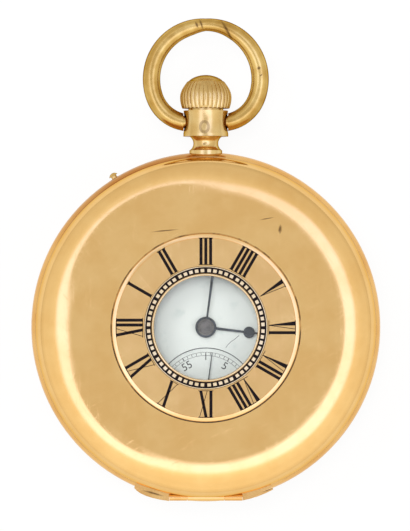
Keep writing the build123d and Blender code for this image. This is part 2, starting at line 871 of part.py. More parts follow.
def crown():
    """An onion crown: ribbed grip, smooth domed cap, and a recess for the tube of the pendant."""
    foot = case_radius + crown_skirt_height
    widest = foot + crown_widest_height
    flute_top = foot + crown_flute_top_height
    core = turned_on_pendant(grip_section(crown_flute_depth, foot, widest, flute_top))
    full = turned_on_pendant(grip_section(0, foot, widest, flute_top))
    rib_width = 2 * pi * crown_radius / crown_flutes * crown_rib_share
    bar = Rectangle(2 * crown_radius + overrun, rib_width)
    star = Sketch() + [Rot(0, 0, rib * 360 / crown_flutes) * bar for rib in range(crown_flutes // 2)]
    ribs = full & Pos(0, foot, middle) * Rot(-90, 0, 0) * extrude(star, crown_height)
    cap_edge = flute_top - crown_cap_drop
    cap = face_of(
        cap_arc(crown_cap_radius, flute_top, crown_height - crown_flute_top_height),
        Line((0, foot + crown_height), (0, cap_edge)),
        Line((0, cap_edge), (crown_cap_radius, cap_edge)),
        Line((crown_cap_radius, cap_edge), (crown_cap_radius, flute_top)),
    )
    return core + ribs + turned_on_pendant(cap)


def push_sleeve():
    """The sleeve under the crown: pressing the crown drives it down on the lock spring."""
    start = case_radius + sleeve_start_height
    flange = case_radius + sleeve_flange_height
    top = case_radius + sleeve_top_height
    sleeve = rod(sleeve_wall_radius, start, flange + overrun) + rod(sleeve_flange_radius, flange, top)
    return sleeve - rod(sleeve_bore_radius, start - overrun, top + overrun)


def winding_stem():
    top = case_radius + crown_skirt_height + crown_recess_depth
    stem = rod(stem_radius, stem_inner_end, stem_square_start) + rod(stem_radius, stem_square_end, top)
    square = Rot(-90, 0, 0) * extrude(Rectangle(stem_square, stem_square), stem_square_end - stem_square_start)
    return stem + Pos(0, stem_square_start, middle) * square


def setting_pusher():
    """The small domed pusher beside the pendant."""
    length = case_radius - pusher_inner_end
    head_base = case_radius + pusher_travel + running_fit - pusher_inner_end
    stem = extrude(Circle(pusher_stem_radius), head_base + pusher_head_height / 2)
    head_top = head_base + pusher_head_height
    head = face_of(
        cap_arc(pusher_head_radius, head_base, pusher_head_height),
        Line((0, head_top), (0, head_base)),
        Line((0, head_base), (pusher_head_radius, head_base)),
    )
    turned_head = revolve(Plane.XZ * head, Axis.Z, 360)
    return along_ray(stem + turned_head, pusher_angle, pusher_inner_end, pusher_level)


def setting_lever_places():
    """Pivot and tip of the setting lever, inside the wall of the movement."""
    tip_radius = pusher_inner_end - setting_lever_tip_radius - 2 * running_fit
    return polar(bridge_radius - bridge_wall / 2, pusher_angle - setting_lever_span), polar(tip_radius, pusher_angle)


def setting_lever():
    pivot, tip = setting_lever_places()
    level = pusher_level - setting_lever_thickness / 2
    shape = link(pivot, setting_lever_pivot_radius, tip, setting_lever_tip_radius)
    lever = Pos(0, 0, level) * extrude(shape, setting_lever_thickness)
    hole = disc(pivot, setting_stud_radius + running_fit, level - overrun, setting_lever_thickness + 2 * overrun)
    return lever - hole


# Toothed wheels
def toothed(teeth, pitch_radius, addendum, dedendum, root_share, tip_share, phase=0):
    """Outline of a gear with straight-sided teeth. The phase turns it, in degrees."""
    pitch = 360 / teeth
    points = []
    for tooth in range(teeth):
        axis = phase + tooth * pitch
        points.append(polar(pitch_radius - dedendum, axis - root_share * pitch))
        points.append(polar(pitch_radius + addendum, axis - tip_share * pitch))
        points.append(polar(pitch_radius + addendum, axis + tip_share * pitch))
        points.append(polar(pitch_radius - dedendum, axis + root_share * pitch))
    return polygon(points)


def wheel_outline(teeth, module, phase=0):
    return toothed(teeth, teeth * module / 2, wheel_addendum_share * module, wheel_dedendum_share * module,
                   wheel_root_share, wheel_tip_share, phase)


def pinion_outline(leaves, module, phase=0):
    return toothed(leaves, leaves * module / 2, pinion_addendum_share * module, pinion_dedendum_share * module,
                   pinion_root_share, pinion_tip_share, phase)


def crossed_out(radius):
    """The windows between the spokes of a wheel of this pitch radius."""
    rim = radius * (1 - rim_width_share)
    windows = Circle(rim) - Circle(radius * hub_radius_share)
    for spoke in range(spokes):
        bar = Pos(radius / 2, 0) * Rectangle(radius, radius * spoke_width_share)
        windows -= Rot(0, 0, spoke * 360 / spokes) * bar
    return windows


def module_of(distance, first_teeth, second_teeth):
    return 2 * distance / (first_teeth + second_teeth)


def facing_phase(start, start_teeth, start_phase, end, end_teeth):
    """Phase of the second gear that puts its gap against a tooth of the first."""
    line = bearing(start, end)
    return line + 180 + 180 / end_teeth - (start_phase - line) * start_teeth / end_teeth


def at(point, level, sketch, height):
    """A flat outline drawn round zero, set upright at a point."""
    return Pos(point[0], point[1], level) * extrude(sketch, height)


def arbor(point, low, high, radius=arbor_radius):
    """A shaft with a thinner pivot at each end, which runs into its bearing."""
    shaft = disc(point, radius, low, high - low)
    return shaft + disc(point, pivot_radius, low - pivot_length, high - low + 2 * pivot_length)


barrel_module = module_of(barrel_distance, barrel_teeth, centre_pinion_leaves)
centre_module = module_of(third_distance, centre_teeth, third_pinion_leaves)
third_module = module_of(fourth_distance, third_teeth, fourth_pinion_leaves)
fourth_module = module_of(escape_distance, fourth_teeth, escape_pinion_leaves)
cannon_module = module_of(motion_distance, cannon_teeth, minute_wheel_teeth)
hour_module = module_of(motion_distance, minute_pinion_leaves, hour_wheel_teeth)
crown_gear_distance = sqrt((crown_centre[0] - barrel[0]) ** 2 + (crown_centre[1] - barrel[1]) ** 2)
winding_module = module_of(crown_gear_distance, crown_gear_teeth, ratchet_teeth)

barrel_outer = barrel_teeth * barrel_module / 2 - (wheel_dedendum_share + wheel_addendum_share) * barrel_module
barrel_top = barrel_bottom + barrel_height
barrel_teeth_level = barrel_top - barrel_tooth_height
centre_wheel_level = bridge_top + 2 * barrel_side_gap
third_wheel_level = barrel_top - pinion_height - wheel_thickness - barrel_side_gap
fourth_wheel_level = barrel_bottom + barrel_side_gap
train_low = bridge_bottom + jewel_thickness + running_fit
train_high = plate_bottom - running_fit


# Barrel
def spiral_ribbon(start_radius, pitch, half_turns, thickness, height):
    """A ribbon wound in half circles that meet smoothly, each a quarter pitch wider than the last."""
    inner_side = []
    outer_side = []
    for half_turn in range(half_turns):
        radius = start_radius + half_turn * pitch / 2
        shift = pitch / 4 if half_turn % 2 else -pitch / 4
        heading = -1 if half_turn % 2 else 1
        for side, edges in ((-thickness / 2, inner_side), (thickness / 2, outer_side)):
            reach = radius + side
            edges.append(ThreePointArc(
                (shift + heading * reach, 0), (shift, heading * reach), (shift - heading * reach, 0)
            ))
    start = Line(inner_side[0] @ 0, outer_side[0] @ 0)
    end = Line(inner_side[-1] @ 1, outer_side[-1] @ 1)
    least_gap = min(outer_side[turn].distance_to(inner_side[turn + 2]) for turn in range(half_turns - 2))
    print("spiral of", half_turns / 2, "turns, least gap between its turns", round(least_gap, 3), "mm")
    return extrude(face_of(*inner_side, *outer_side, start, end), height)


def barrel_drum():
    drum = at(barrel, barrel_teeth_level, wheel_outline(barrel_teeth, barrel_module), barrel_tooth_height)
    drum += disc(barrel, barrel_outer, barrel_bottom, barrel_height)
    room = barrel_height - barrel_wall - barrel_cover_thickness
    drum -= disc(barrel, barrel_outer - barrel_wall, barrel_bottom + barrel_cover_thickness, room)
    drum -= disc(barrel, barrel_outer - barrel_wall / 2, barrel_bottom - overrun, barrel_cover_thickness + overrun)
    journal = arbor_journal_radius + running_fit
    return drum - disc(barrel, journal, barrel_bottom, barrel_height + overrun)


def barrel_cover():
    hole = arbor_journal_radius + running_fit
    thickness = barrel_cover_thickness - seat_gap
    return ring(barrel, barrel_outer - barrel_wall / 2 - seat_gap, hole, barrel_bottom, thickness)


def barrel_arbor():
    """The arbor of the mainspring, square at its foot for the ratchet wheel."""
    core_bottom = barrel_bottom + barrel_cover_thickness + running_fit
    core_top = barrel_top - barrel_wall - running_fit
    arbor_shape = disc(barrel, barrel_arbor_radius, core_bottom, core_top - core_bottom)
    square_side = arbor_journal_radius * sqrt(2)
    foot = winding_wheel_bottom
    arbor_shape += disc(barrel, arbor_journal_radius, bridge_bottom, plate_bottom + pivot_length - bridge_bottom)
    return arbor_shape + at(barrel, foot, Rectangle(square_side, square_side), bridge_bottom - foot)


def mainspring():
    level = barrel_bottom + barrel_cover_thickness + barrel_side_gap
    height = barrel_height - barrel_cover_thickness - barrel_wall - 2 * barrel_side_gap
    ribbon = spiral_ribbon(mainspring_start_radius, mainspring_pitch, mainspring_half_turns,
                           mainspring_thickness, height)
    return Pos(barrel[0], barrel[1], level) * ribbon


# Winding work
def winding_pinion():
    """Twelve straight teeth round the stem, on its square."""
    root = winding_pinion_radius - winding_tooth_depth
    tooth_width = 2 * pi * winding_pinion_radius / winding_teeth * winding_tooth_width_share
    shape = Circle(root)
    for tooth in range(winding_teeth):
        bar = Pos(winding_pinion_radius / 2, 0) * Rectangle(winding_pinion_radius, tooth_width)
        shape += Rot(0, 0, (tooth + 1 / 2) * 360 / winding_teeth) * bar
    square = stem_square + 2 * running_fit
    shape -= Rectangle(square, square)
    return Pos(0, winding_pinion_start, middle) * Rot(-90, 0, 0) * extrude(shape, winding_pinion_length)


def clutch_wheel():
    """The sliding wheel on the square of the stem, with a groove for its lever and end teeth."""
    body = rod(clutch_radius, clutch_start, clutch_start + clutch_length)
    groove_start = clutch_start + (clutch_length - clutch_groove_width) / 2
    groove = rod(clutch_radius + overrun, groove_start, groove_start + clutch_groove_width)
    body -= groove - rod(clutch_radius - clutch_groove_depth, groove_start, groove_start + clutch_groove_width)
    square = stem_square + 2 * running_fit
    hole = Rot(-90, 0, 0) * extrude(Rectangle(square, square), clutch_length + 2 * overrun)
    return body - Pos(0, clutch_start - overrun, middle) * hole


def crown_wheel():
    """A wheel with upright pegs that the winding pinion drives, and its arbor through the bridge."""
    peg_top = middle - winding_pinion_radius + crown_wheel_peg_dip
    disc_top = peg_top - crown_wheel_peg_height
    outer = crown_wheel_distance + crown_wheel_peg_length / 2
    wheel = disc(crown_centre, outer, disc_top - crown_wheel_thickness, crown_wheel_thickness)
    wheel += disc(crown_centre, crown_arbor_radius, winding_wheel_bottom, disc_top - winding_wheel_bottom)
    peg_width = 2 * pi * crown_wheel_distance / crown_wheel_teeth * crown_wheel_peg_width_share
    peg = extrude(Rectangle(crown_wheel_peg_length, peg_width), crown_wheel_peg_height)
    for tooth in range(crown_wheel_teeth):
        turn = Rot(0, 0, 90 + tooth * 360 / crown_wheel_teeth)
        wheel += Pos(crown_centre[0], crown_centre[1], disc_top) * turn * Pos(crown_wheel_distance, 0, 0) * peg
    return wheel


def crown_gear():
    outline = wheel_outline(crown_gear_teeth, winding_module) - Circle(crown_arbor_radius + seat_gap)
    return at(crown_centre, winding_wheel_bottom, outline, winding_wheel_thickness)


def ratchet_wheel():
    phase = facing_phase(crown_centre, crown_gear_teeth, 0, barrel, ratchet_teeth)
    square = arbor_journal_radius * sqrt(2) + 2 * seat_gap
    outline = wheel_outline(ratchet_teeth, winding_module, phase) - Rectangle(square, square)
    return at(barrel, winding_wheel_bottom, outline, winding_wheel_thickness)


ratchet_outer = (ratchet_teeth / 2 + wheel_addendum_share) * winding_module
click_offset = polar(ratchet_outer + click_reach, click_direction)
click_pivot = (barrel[0] + click_offset[0], barrel[1] + click_offset[1])


def click():
    """The pawl beside the ratchet wheel, on its own pin."""
    beak_offset = polar(ratchet_outer + escapement_gap, click_direction - click_beak_span)
    beak = (barrel[0] + beak_offset[0], barrel[1] + beak_offset[1])
    across = bearing(click_pivot, beak) + 90
    side = polar(click_width / 2, across)
    arm = polygon([
        (click_pivot[0] + side[0], click_pivot[1] + side[1]),
        beak,
        (click_pivot[0] - side[0], click_pivot[1] - side[1]),
    ])
    shape = arm + Pos(*click_pivot) * Circle(click_width)
    shape -= Pos(*click_pivot) * Circle(setting_stud_radius + running_fit)
    return Pos(0, 0, winding_wheel_bottom) * extrude(shape, winding_wheel_thickness)


def click_spring():
    """A strip that presses the click, held by a pad at its far end."""
    reach = sqrt(click_pivot[0] ** 2 + click_pivot[1] ** 2)
    pivot_direction = bearing(centre, click_pivot)
    strip_end = pivot_direction - click_spring_gap
    inner = reach - click_spring_inset
    strip = sector(inner, inner + click_spring_width, strip_end - click_spring_span, strip_end)
    pad_place = polar(inner + spring_pad_radius - click_spring_width, strip_end - click_spring_span)
    shape = strip + Pos(*pad_place) * Circle(spring_pad_radius)
    height = bridge_bottom - winding_wheel_bottom
    return Pos(0, 0, winding_wheel_bottom) * extrude(shape, height)


# Going train
centre_phase = 0
centre_pinion_phase = facing_phase(barrel, barrel_teeth, 0, centre, centre_pinion_leaves)
third_pinion_phase = facing_phase(centre, centre_teeth, centre_phase, third, third_pinion_leaves)
fourth_pinion_phase = facing_phase(third, third_teeth, 0, fourth, fourth_pinion_leaves)
escape_pinion_phase = facing_phase(fourth, fourth_teeth, 0, escape, escape_pinion_leaves)


def train_wheel(point, teeth, module, level):
    """A crossed-out wheel of the train."""
    outline = wheel_outline(teeth, module) - crossed_out(teeth * module / 2)
    return at(point, level, outline, wheel_thickness)


def centre_wheel():
    """Centre wheel, its pinion, and the post that carries the minute hand."""
    wheel = train_wheel(centre, centre_teeth, centre_module, centre_wheel_level)
    pinion = pinion_outline(centre_pinion_leaves, barrel_module, centre_pinion_phase)
    wheel += at(centre, barrel_teeth_level, pinion, barrel_tooth_height)
    wheel += arbor(centre, train_low, train_high)
    post_top = cannon_top - running_fit
    return wheel + disc(centre, centre_post_radius, plate_bottom - running_fit, post_top - plate_bottom)


def third_wheel():
    wheel = train_wheel(third, third_teeth, third_module, third_wheel_level)
    pinion = pinion_outline(third_pinion_leaves, centre_module, third_pinion_phase)
    pinion_level = centre_wheel_level + (wheel_thickness - third_pinion_height) / 2
    wheel += at(third, pinion_level, pinion, third_pinion_height)
    return wheel + arbor(third, train_low, train_high)


def fourth_wheel():
    """Fourth wheel, whose long pivot carries the seconds hand."""
    wheel = train_wheel(fourth, fourth_teeth, fourth_module, fourth_wheel_level)
    pinion = pinion_outline(fourth_pinion_leaves, third_module, fourth_pinion_phase)
    pinion_level = third_wheel_level + (wheel_thickness - third_pinion_height) / 2
    wheel += at(fourth, pinion_level, pinion, third_pinion_height)
    wheel += arbor(fourth, train_low, train_high)
    post_top = dial_top + seconds_hand_rise + hand_thickness
    return wheel + disc(fourth, pivot_radius, plate_bottom - running_fit, post_top - plate_bottom)


def escape_wheel():
    """Fifteen hooked teeth on a light crossed wheel, with its pinion."""
    pitch = 360 / escape_teeth
    root = escape_radius - escape_tooth_height
    points = []
    for tooth in range(escape_teeth):
        axis = tooth * pitch
        points.append(polar(root, axis - pitch * escape_heel_share))
        points.append(polar(escape_radius, axis - pitch * escape_tip_share))
        points.append(polar(escape_radius, axis))
        points.append(polar(root, axis + pitch * escape_tip_share))
    outline = polygon(points) - crossed_out(root)
    wheel = at(escape, fork_level, outline, fork_thickness)
    pinion = pinion_outline(escape_pinion_leaves, fourth_module, escape_pinion_phase)
    pinion_level = fourth_wheel_level + (wheel_thickness - third_pinion_height) / 2
    wheel += at(escape, pinion_level, pinion, third_pinion_height)
    return wheel + arbor(escape, train_low, train_high, escape_arbor_radius)


# Escapement and balance
stone_clearance = (escape_fork_distance / 2) * sin(radians(fork_swing)) + escapement_gap
pallet_span = 30


def pallet_stone_places():
    """Places of the two stones as seen from the arbor of the fork, with their lean."""
    reach = escape_radius + stone_clearance + pallet_stone_length / 2
    places = []
    for side in (-1, 1):
        offset = polar(reach, side * pallet_span)
        places.append((offset[0] - escape_fork_distance, offset[1], side * pallet_span))
    return places


def on_fork(sketch):
    """Turns an outline drawn along +X so that it lies on the line from the escape wheel to the balance."""
    return Pos(fork[0], fork[1], fork_level) * Rot(0, 0, fork_direction) * extrude(sketch, fork_thickness)


def pallet_fork():
    notch = fork_centre_distance - impulse_pin_distance
    shape = link((0, 0), fork_boss_radius, (notch - fork_horn_length, 0), fork_half_width)
    horns = Pos(notch - fork_horn_length / 2, 0) * Rectangle(fork_horn_length, fork_horn_width)
    shape += horns - Pos(notch, 0) * Rectangle(fork_horn_length, fork_notch_width)
    arm_reach = escape_radius + stone_clearance + pallet_stone_length
    for side in (-1, 1):
        end = polar(arm_reach, side * pallet_span)
        shape += link((0, 0), fork_boss_radius, (end[0] - escape_fork_distance, end[1]), fork_boss_radius)
    for x, y, lean in pallet_stone_places():
        inward = polar(pallet_stone_length / 2, lean)
        slot = Rectangle(2 * pallet_stone_length, pallet_stone_width + 2 * seat_gap)
        shape -= Pos(x - inward[0], y - inward[1]) * Rot(0, 0, lean) * slot
    low = pallet_cock_level + pallet_cock_thickness + running_fit
    return on_fork(shape) + arbor(fork, low, train_high, escape_arbor_radius)


def pallet_stones():
    stones = Sketch()
    for x, y, lean in pallet_stone_places():
        stones += Pos(x, y) * Rot(0, 0, lean) * Rectangle(pallet_stone_length, pallet_stone_width)
    return on_fork(stones)


def balance_wheel():
    """A ring with one straight arm and screws round its rim."""
    inner = balance_rim_radius - balance_rim_width
    wheel = ring(balance, balance_rim_radius, inner, balance_level, balance_rim_height)
    arm_level = balance_level + (balance_rim_height - balance_arm_thickness) / 2
    arm = Rectangle(2 * inner + balance_rim_width, balance_arm_width) + Circle(balance_arm_width)
    wheel += at(balance, arm_level, arm - Circle(staff_radius + seat_gap), balance_arm_thickness)
    for place in range(timing_screws):
        direction = (place + 1 / 2) * 360 / timing_screws
        screw = extrude(Circle(timing_screw_radius), timing_screw_length + balance_rim_width / 2)
        screw = Pos(balance_rim_radius - balance_rim_width / 2, 0, 0) * Rot(0, 90, 0) * screw
        level = balance_level + balance_rim_height / 2
        wheel += Pos(balance[0], balance[1], level) * Rot(0, 0, direction) * screw
    return wheel


def balance_staff():
    low = cock_bottom + jewel_thickness + running_fit
    staff = arbor(balance, low, train_high, staff_radius)
    return staff + disc(balance, collet_radius, hairspring_level, hairspring_height)


def roller():
    """The disc below the balance, with the impulse pin."""
    table = ring(balance, roller_radius, staff_radius + seat_gap, roller_level, roller_thickness)
    pin_height = fork_level - roller_level - escapement_gap
    offset = polar(impulse_pin_distance, fork_direction + 180)
    pin_place = (balance[0] + offset[0], balance[1] + offset[1])
    return table + disc(pin_place, impulse_pin_radius, roller_level, pin_height)


cock_foot = polar(cock_foot_distance, cock_foot_direction)
cock_line = bearing(balance, cock_foot)


def hairspring():
    ribbon = spiral_ribbon(hairspring_start_radius, hairspring_pitch, hairspring_half_turns,
                           hairspring_thickness, hairspring_height)
    return Pos(balance[0], balance[1], hairspring_level) * Rot(0, 0, cock_line + 180) * ribbon


def hairspring_stud():
    """The small post under the cock that holds the outer end of the hairspring."""
    reach = hairspring_start_radius + (hairspring_half_turns - 1) * hairspring_pitch / 2 + hairspring_pitch / 4
    local = Pos(-reach, -stud_radius - seat_gap, 0)
    top = cock_bottom + cock_thickness
    height = hairspring_level + hairspring_height - top
    post = local * extrude(Circle(stud_radius), height)
    return Pos(balance[0], balance[1], top) * Rot(0, 0, cock_line + 180) * post


def jewel_hole(point, bottom, thickness):
    """The seat of a jewel in a bridge, and the wider bore behind it for the arbor."""
    seat = disc(point, jewel_radius + seat_gap, bottom - overrun, jewel_thickness + overrun)
    return seat + disc(point, staff_radius + running_fit, bottom, thickness + overrun)


def screw_hole(point, bottom, length):
    return disc(point, screw_shank_radius + seat_gap, bottom, length)


def balance_cock():
    """The arm over the balance, its foot on the plate, and the boss for the regulator."""
    arm = link(balance, cock_end_radius, cock_foot, cock_foot_radius)
    cock = Pos(0, 0, cock_bottom) * extrude(arm, cock_thickness)
    cock += disc(cock_foot, cock_foot_radius, cock_bottom, plate_bottom - cock_bottom)
    cock += disc(balance, cock_boss_radius, cock_bottom - cock_boss_height, cock_boss_height)
    cock -= disc(balance, jewel_radius + seat_gap, cock_bottom - overrun, jewel_thickness + overrun)
    cock -= disc(balance, staff_radius + running_fit, cock_bottom, cock_thickness + overrun)
    return cock - screw_hole(cock_foot, cock_bottom - overrun, plate_bottom)


def regulator():
    """The index that turns round the boss of the cock."""
    tail = polygon([
        (0, regulator_tail_width),
        (regulator_radius + regulator_tail, 0),
        (0, -regulator_tail_width),
    ])
    shape = Circle(regulator_radius) + tail - Circle(cock_boss_radius + running_fit)
    level = cock_bottom - seat_gap - regulator_thickness
    return Pos(balance[0], balance[1], level) * Rot(0, 0, cock_line) * extrude(shape, regulator_thickness)


def pallet_cock():
    offset = polar(pallet_cock_reach, fork_direction - 90)
    foot = (fork[0] + offset[0], fork[1] + offset[1])
    arm = Pos(0, 0, pallet_cock_level) * extrude(link(fork, pallet_cock_radius, foot, pallet_cock_radius),
                                                 pallet_cock_thickness)
    arm += disc(foot, pallet_cock_radius, pallet_cock_level, plate_bottom - pallet_cock_level)
    return arm - disc(fork, pivot_radius + running_fit, pallet_cock_level - overrun, 2 * overrun)


def jewels():
    """Ring jewels of the train bridge and the balance cock."""
    ring_jewels = []
    for point, bottom in ((centre, bridge_bottom), (third, bridge_bottom), (fourth, bridge_bottom),
                          (escape, bridge_bottom), (balance, cock_bottom)):
        ring_jewels.append(ring(point, jewel_radius, pivot_radius + running_fit, bottom, jewel_thickness))
    return Part() + ring_jewels


# Plates and bridges
def bridge_blank(outline, wall_ends):
    """A bridge: a flat plate with a wall along the edge of the movement that stands on the main plate."""
    blank = Pos(0, 0, bridge_bottom) * extrude(outline, bridge_thickness)
    for first, last in wall_ends:
        wall = Sketch()
        middle_direction = (first + last) / 2
        for start, end in ((first, middle_direction), (middle_direction, last)):
            wall += sector(bridge_radius - bridge_wall, bridge_radius, start, end)
        blank += Pos(0, 0, bridge_bottom) * extrude(wall & outline, plate_bottom - bridge_bottom)
    return blank


def barrel_bridge():
    low = bridge_split_height + bridge_split_gap / 2
    half_plane = Pos(0, low + bridge_radius) * Rectangle(2 * bridge_radius, 2 * bridge_radius)
    bridge = bridge_blank(Circle(bridge_radius) & half_plane, [barrel_wall_ends, barrel_wall_far_ends])
    through = plate_bottom - bridge_bottom + 2 * overrun
    bridge -= disc(barrel, arbor_journal_radius + running_fit, bridge_bottom - overrun, through)
    bridge -= disc(crown_centre, crown_arbor_radius + running_fit, bridge_bottom - overrun, through)
    for direction in barrel_bridge_screws:
        bridge -= screw_hole(polar(screw_circle_radius, direction), bridge_bottom - overrun, through)
    return bridge + disc(click_pivot, setting_stud_radius, winding_wheel_bottom, bridge_thickness)


def train_bridge():
    high = bridge_split_height - bridge_split_gap / 2
    outline = Circle(bridge_radius) & Pos(bridge_radius - train_bridge_side, high - bridge_radius) * Rectangle(
        2 * bridge_radius, 2 * bridge_radius
    )
    outline -= Pos(*balance) * Circle(balance_room)
    bridge = bridge_blank(outline, [train_wall_ends])
    through = plate_bottom - bridge_bottom + 2 * overrun
    for point in (centre, third, fourth, escape):
        bridge -= jewel_hole(point, bridge_bottom, bridge_thickness)
    for direction in train_bridge_screws:
        bridge -= screw_hole(polar(screw_circle_radius, direction), bridge_bottom - overrun, through)
    return bridge


def main_plate():
    plate = disc(centre, plate_radius, plate_bottom, plate_thickness)
    plate += disc(centre, plate_flange_radius, plate_seat + seat_gap, plate_top - plate_seat - seat_gap)
    plate += ring(centre, plate_radius, plate_radius - dial_seat_width, plate_top, dial_seat_height)
    motion_pin_height = dial_bottom - plate_top - motion_gap
    plate += disc(minute_offset, minute_stud_radius, plate_top, motion_pin_height)
    lever_pivot = setting_lever_places()[0]
    plate += disc(lever_pivot, setting_stud_radius, plate_bottom - lever_stud_drop, lever_stud_drop)
    blind = pivot_length + 2 * running_fit
    for point in (third, escape, fork, balance):
        plate -= disc(point, pivot_radius + running_fit, plate_bottom - overrun, blind + overrun)
    plate -= disc(barrel, arbor_journal_radius + running_fit, plate_bottom - overrun, blind + overrun)
    through = plate_thickness + 2 * overrun
    plate -= disc(fourth, pivot_radius + running_fit, plate_bottom - overrun, through)
    plate -= disc(centre, centre_post_radius + running_fit, plate_bottom - overrun, through)
    window_end = winding_pinion_start + winding_pinion_length + 4 * running_fit
    window = Rectangle(stem_window_width, window_end - stem_window_start)
    window_place = (0, (window_end + stem_window_start) / 2)
    plate -= at(window_place, plate_bottom - overrun, window, through)
    stem_start = stem_inner_end - push_travel - 2 * running_fit
    stem_room = stem_radius + running_fit
    plate -= rod(stem_room, stem_start, plate_flange_radius + overrun)
    slot = Rectangle(2 * stem_room, plate_flange_radius + overrun - stem_start)
    slot_place = (0, (plate_flange_radius + overrun + stem_start) / 2)
    plate -= at(slot_place, plate_bottom - overrun, slot, middle - plate_bottom + overrun)
    for direction in barrel_bridge_screws + train_bridge_screws:
        place = polar(screw_circle_radius, direction)
        plate -= screw_hole(place, plate_bottom - overrun, screw_length - plate_bottom + bridge_bottom + 2 * overrun)
    screw_room = screw_length - plate_bottom + bridge_bottom + 2 * overrun
    return plate - screw_hole(cock_foot, plate_bottom - overrun, screw_room)


def screw(point, seat):
    """A cheese-head screw, its head below the seat and its shank above."""
    body = disc(point, screw_head_radius, seat - screw_head_height, screw_head_height)
    body += disc(point, screw_shank_radius, seat, screw_length)
    slot = Rectangle(2 * screw_head_radius + overrun, screw_slot_width)
    return body - at(point, seat - screw_head_height - overrun, slot, overrun + screw_slot_depth)


def bridge_screws():
    screws = []
    for direction in barrel_bridge_screws + train_bridge_screws:
        screws.append(screw(polar(screw_circle_radius, direction), bridge_bottom - seat_gap))
    screws.append(screw(cock_foot, cock_bottom - seat_gap))
    return Part() + screws


# Motion work, dial and hands
def cannon_pinion():
    level = plate_top + motion_gap
    pinion = at(centre, level, pinion_outline(cannon_teeth, cannon_module), motion_wheel_thickness)
    pipe = disc(centre, cannon_radius, level, cannon_top - level)
    return pinion + pipe - disc(centre, centre_post_radius + seat_gap, level - overrun, case_thickness)


def minute_wheel():
    level = plate_top + motion_gap
    phase = facing_phase(centre, cannon_teeth, 0, minute_offset, minute_wheel_teeth)
    wheel = at(minute_offset, level, wheel_outline(minute_wheel_teeth, cannon_module, phase), motion_wheel_thickness)
    pinion = pinion_outline(minute_pinion_leaves, hour_module)
    wheel += at(minute_offset, level + motion_wheel_thickness, pinion, minute_pinion_height)
    return wheel - disc(minute_offset, minute_stud_radius + running_fit, level - overrun, case_thickness)


def hour_wheel():
    level = plate_top + 2 * motion_gap + motion_wheel_thickness
    phase = facing_phase(minute_offset, minute_pinion_leaves, 0, centre, hour_wheel_teeth)
    wheel = at(centre, level, wheel_outline(hour_wheel_teeth, hour_module, phase), motion_wheel_thickness)
    pipe_top = hour_hand_level + hand_thickness
    wheel += disc(centre, hour_pipe_radius, level, pipe_top - level)
    return wheel - disc(centre, cannon_radius + running_fit, level - overrun, case_thickness)


def dial():
    """A white enamel plate with a sunk circle for the seconds."""
    plate = disc(centre, dial_radius, dial_bottom, dial_thickness)
    plate -= disc(centre, dial_hole_radius, dial_bottom - overrun, dial_thickness + 2 * overrun)
    plate -= disc(fourth, pivot_radius + 2 * running_fit, dial_bottom - overrun, dial_thickness + 2 * overrun)
    return plate - disc(fourth, sunk_dial_radius, dial_top - sunk_dial_depth, sunk_dial_depth + overrun)


def spade(distance, radius):
    """The spade of a hand: a round leaf with a drawn-out tip."""
    tip = distance + spade_tip_share * radius
    return Pos(0, distance) * Circle(radius) + polygon([(-radius * cos(pi / 6), distance + radius / 2), (0, tip),
                                                        (radius * cos(pi / 6), distance + radius / 2)])


def hour_hand():
    """A hand with two leaves: the inner one is read through the window, the outer one on the open dial."""
    width = hour_stem_width
    stem = polygon([(-width / 2, 0), (-width / 4, hour_hand_length), (width / 4, hour_hand_length), (width / 2, 0)])
    shape = stem + Pos(0, hour_ring_distance) * Circle(hour_ring_radius) + spade(hour_spade_distance, hour_spade_radius)
    hand = Rot(0, 0, hour_hand_turn) * extrude(shape, hand_thickness)
    hand += extrude(Circle(hour_boss_radius), 2 * hand_thickness)
    hand = Pos(0, 0, hour_hand_level) * hand
    return hand - disc(centre, hour_pipe_radius + seat_gap, hour_hand_level - overrun, 2 * overrun)


def minute_hand():
    width = minute_hand_width
    tip = width / 6
    stem = polygon([(-width / 2, 0), (-tip, minute_hand_length), (tip, minute_hand_length), (width / 2, 0)])
    shape = stem + spade(minute_spade_distance, minute_spade_radius)
    hand = Rot(0, 0, minute_hand_turn) * extrude(shape, hand_thickness)
    hand += extrude(Circle(minute_boss_radius), minute_boss_height)
    hand = Pos(0, 0, minute_hand_level) * hand
    return hand - disc(centre, cannon_radius + seat_gap, minute_hand_level - overrun,
                       overrun + hand_thickness / 2 + seat_gap)


def seconds_hand():
    width = seconds_hand_width
    stem = polygon([(-width / 2, -seconds_hand_tail), (-width / 4, seconds_hand_length),
                    (width / 4, seconds_hand_length), (width / 2, -seconds_hand_tail)])
    shape = Rot(0, 0, seconds_hand_turn) * (stem + Circle(seconds_boss_radius))
    shape -= Circle(pivot_radius + seat_gap)
    return at(fourth, seconds_hand_level, shape, hand_thickness)


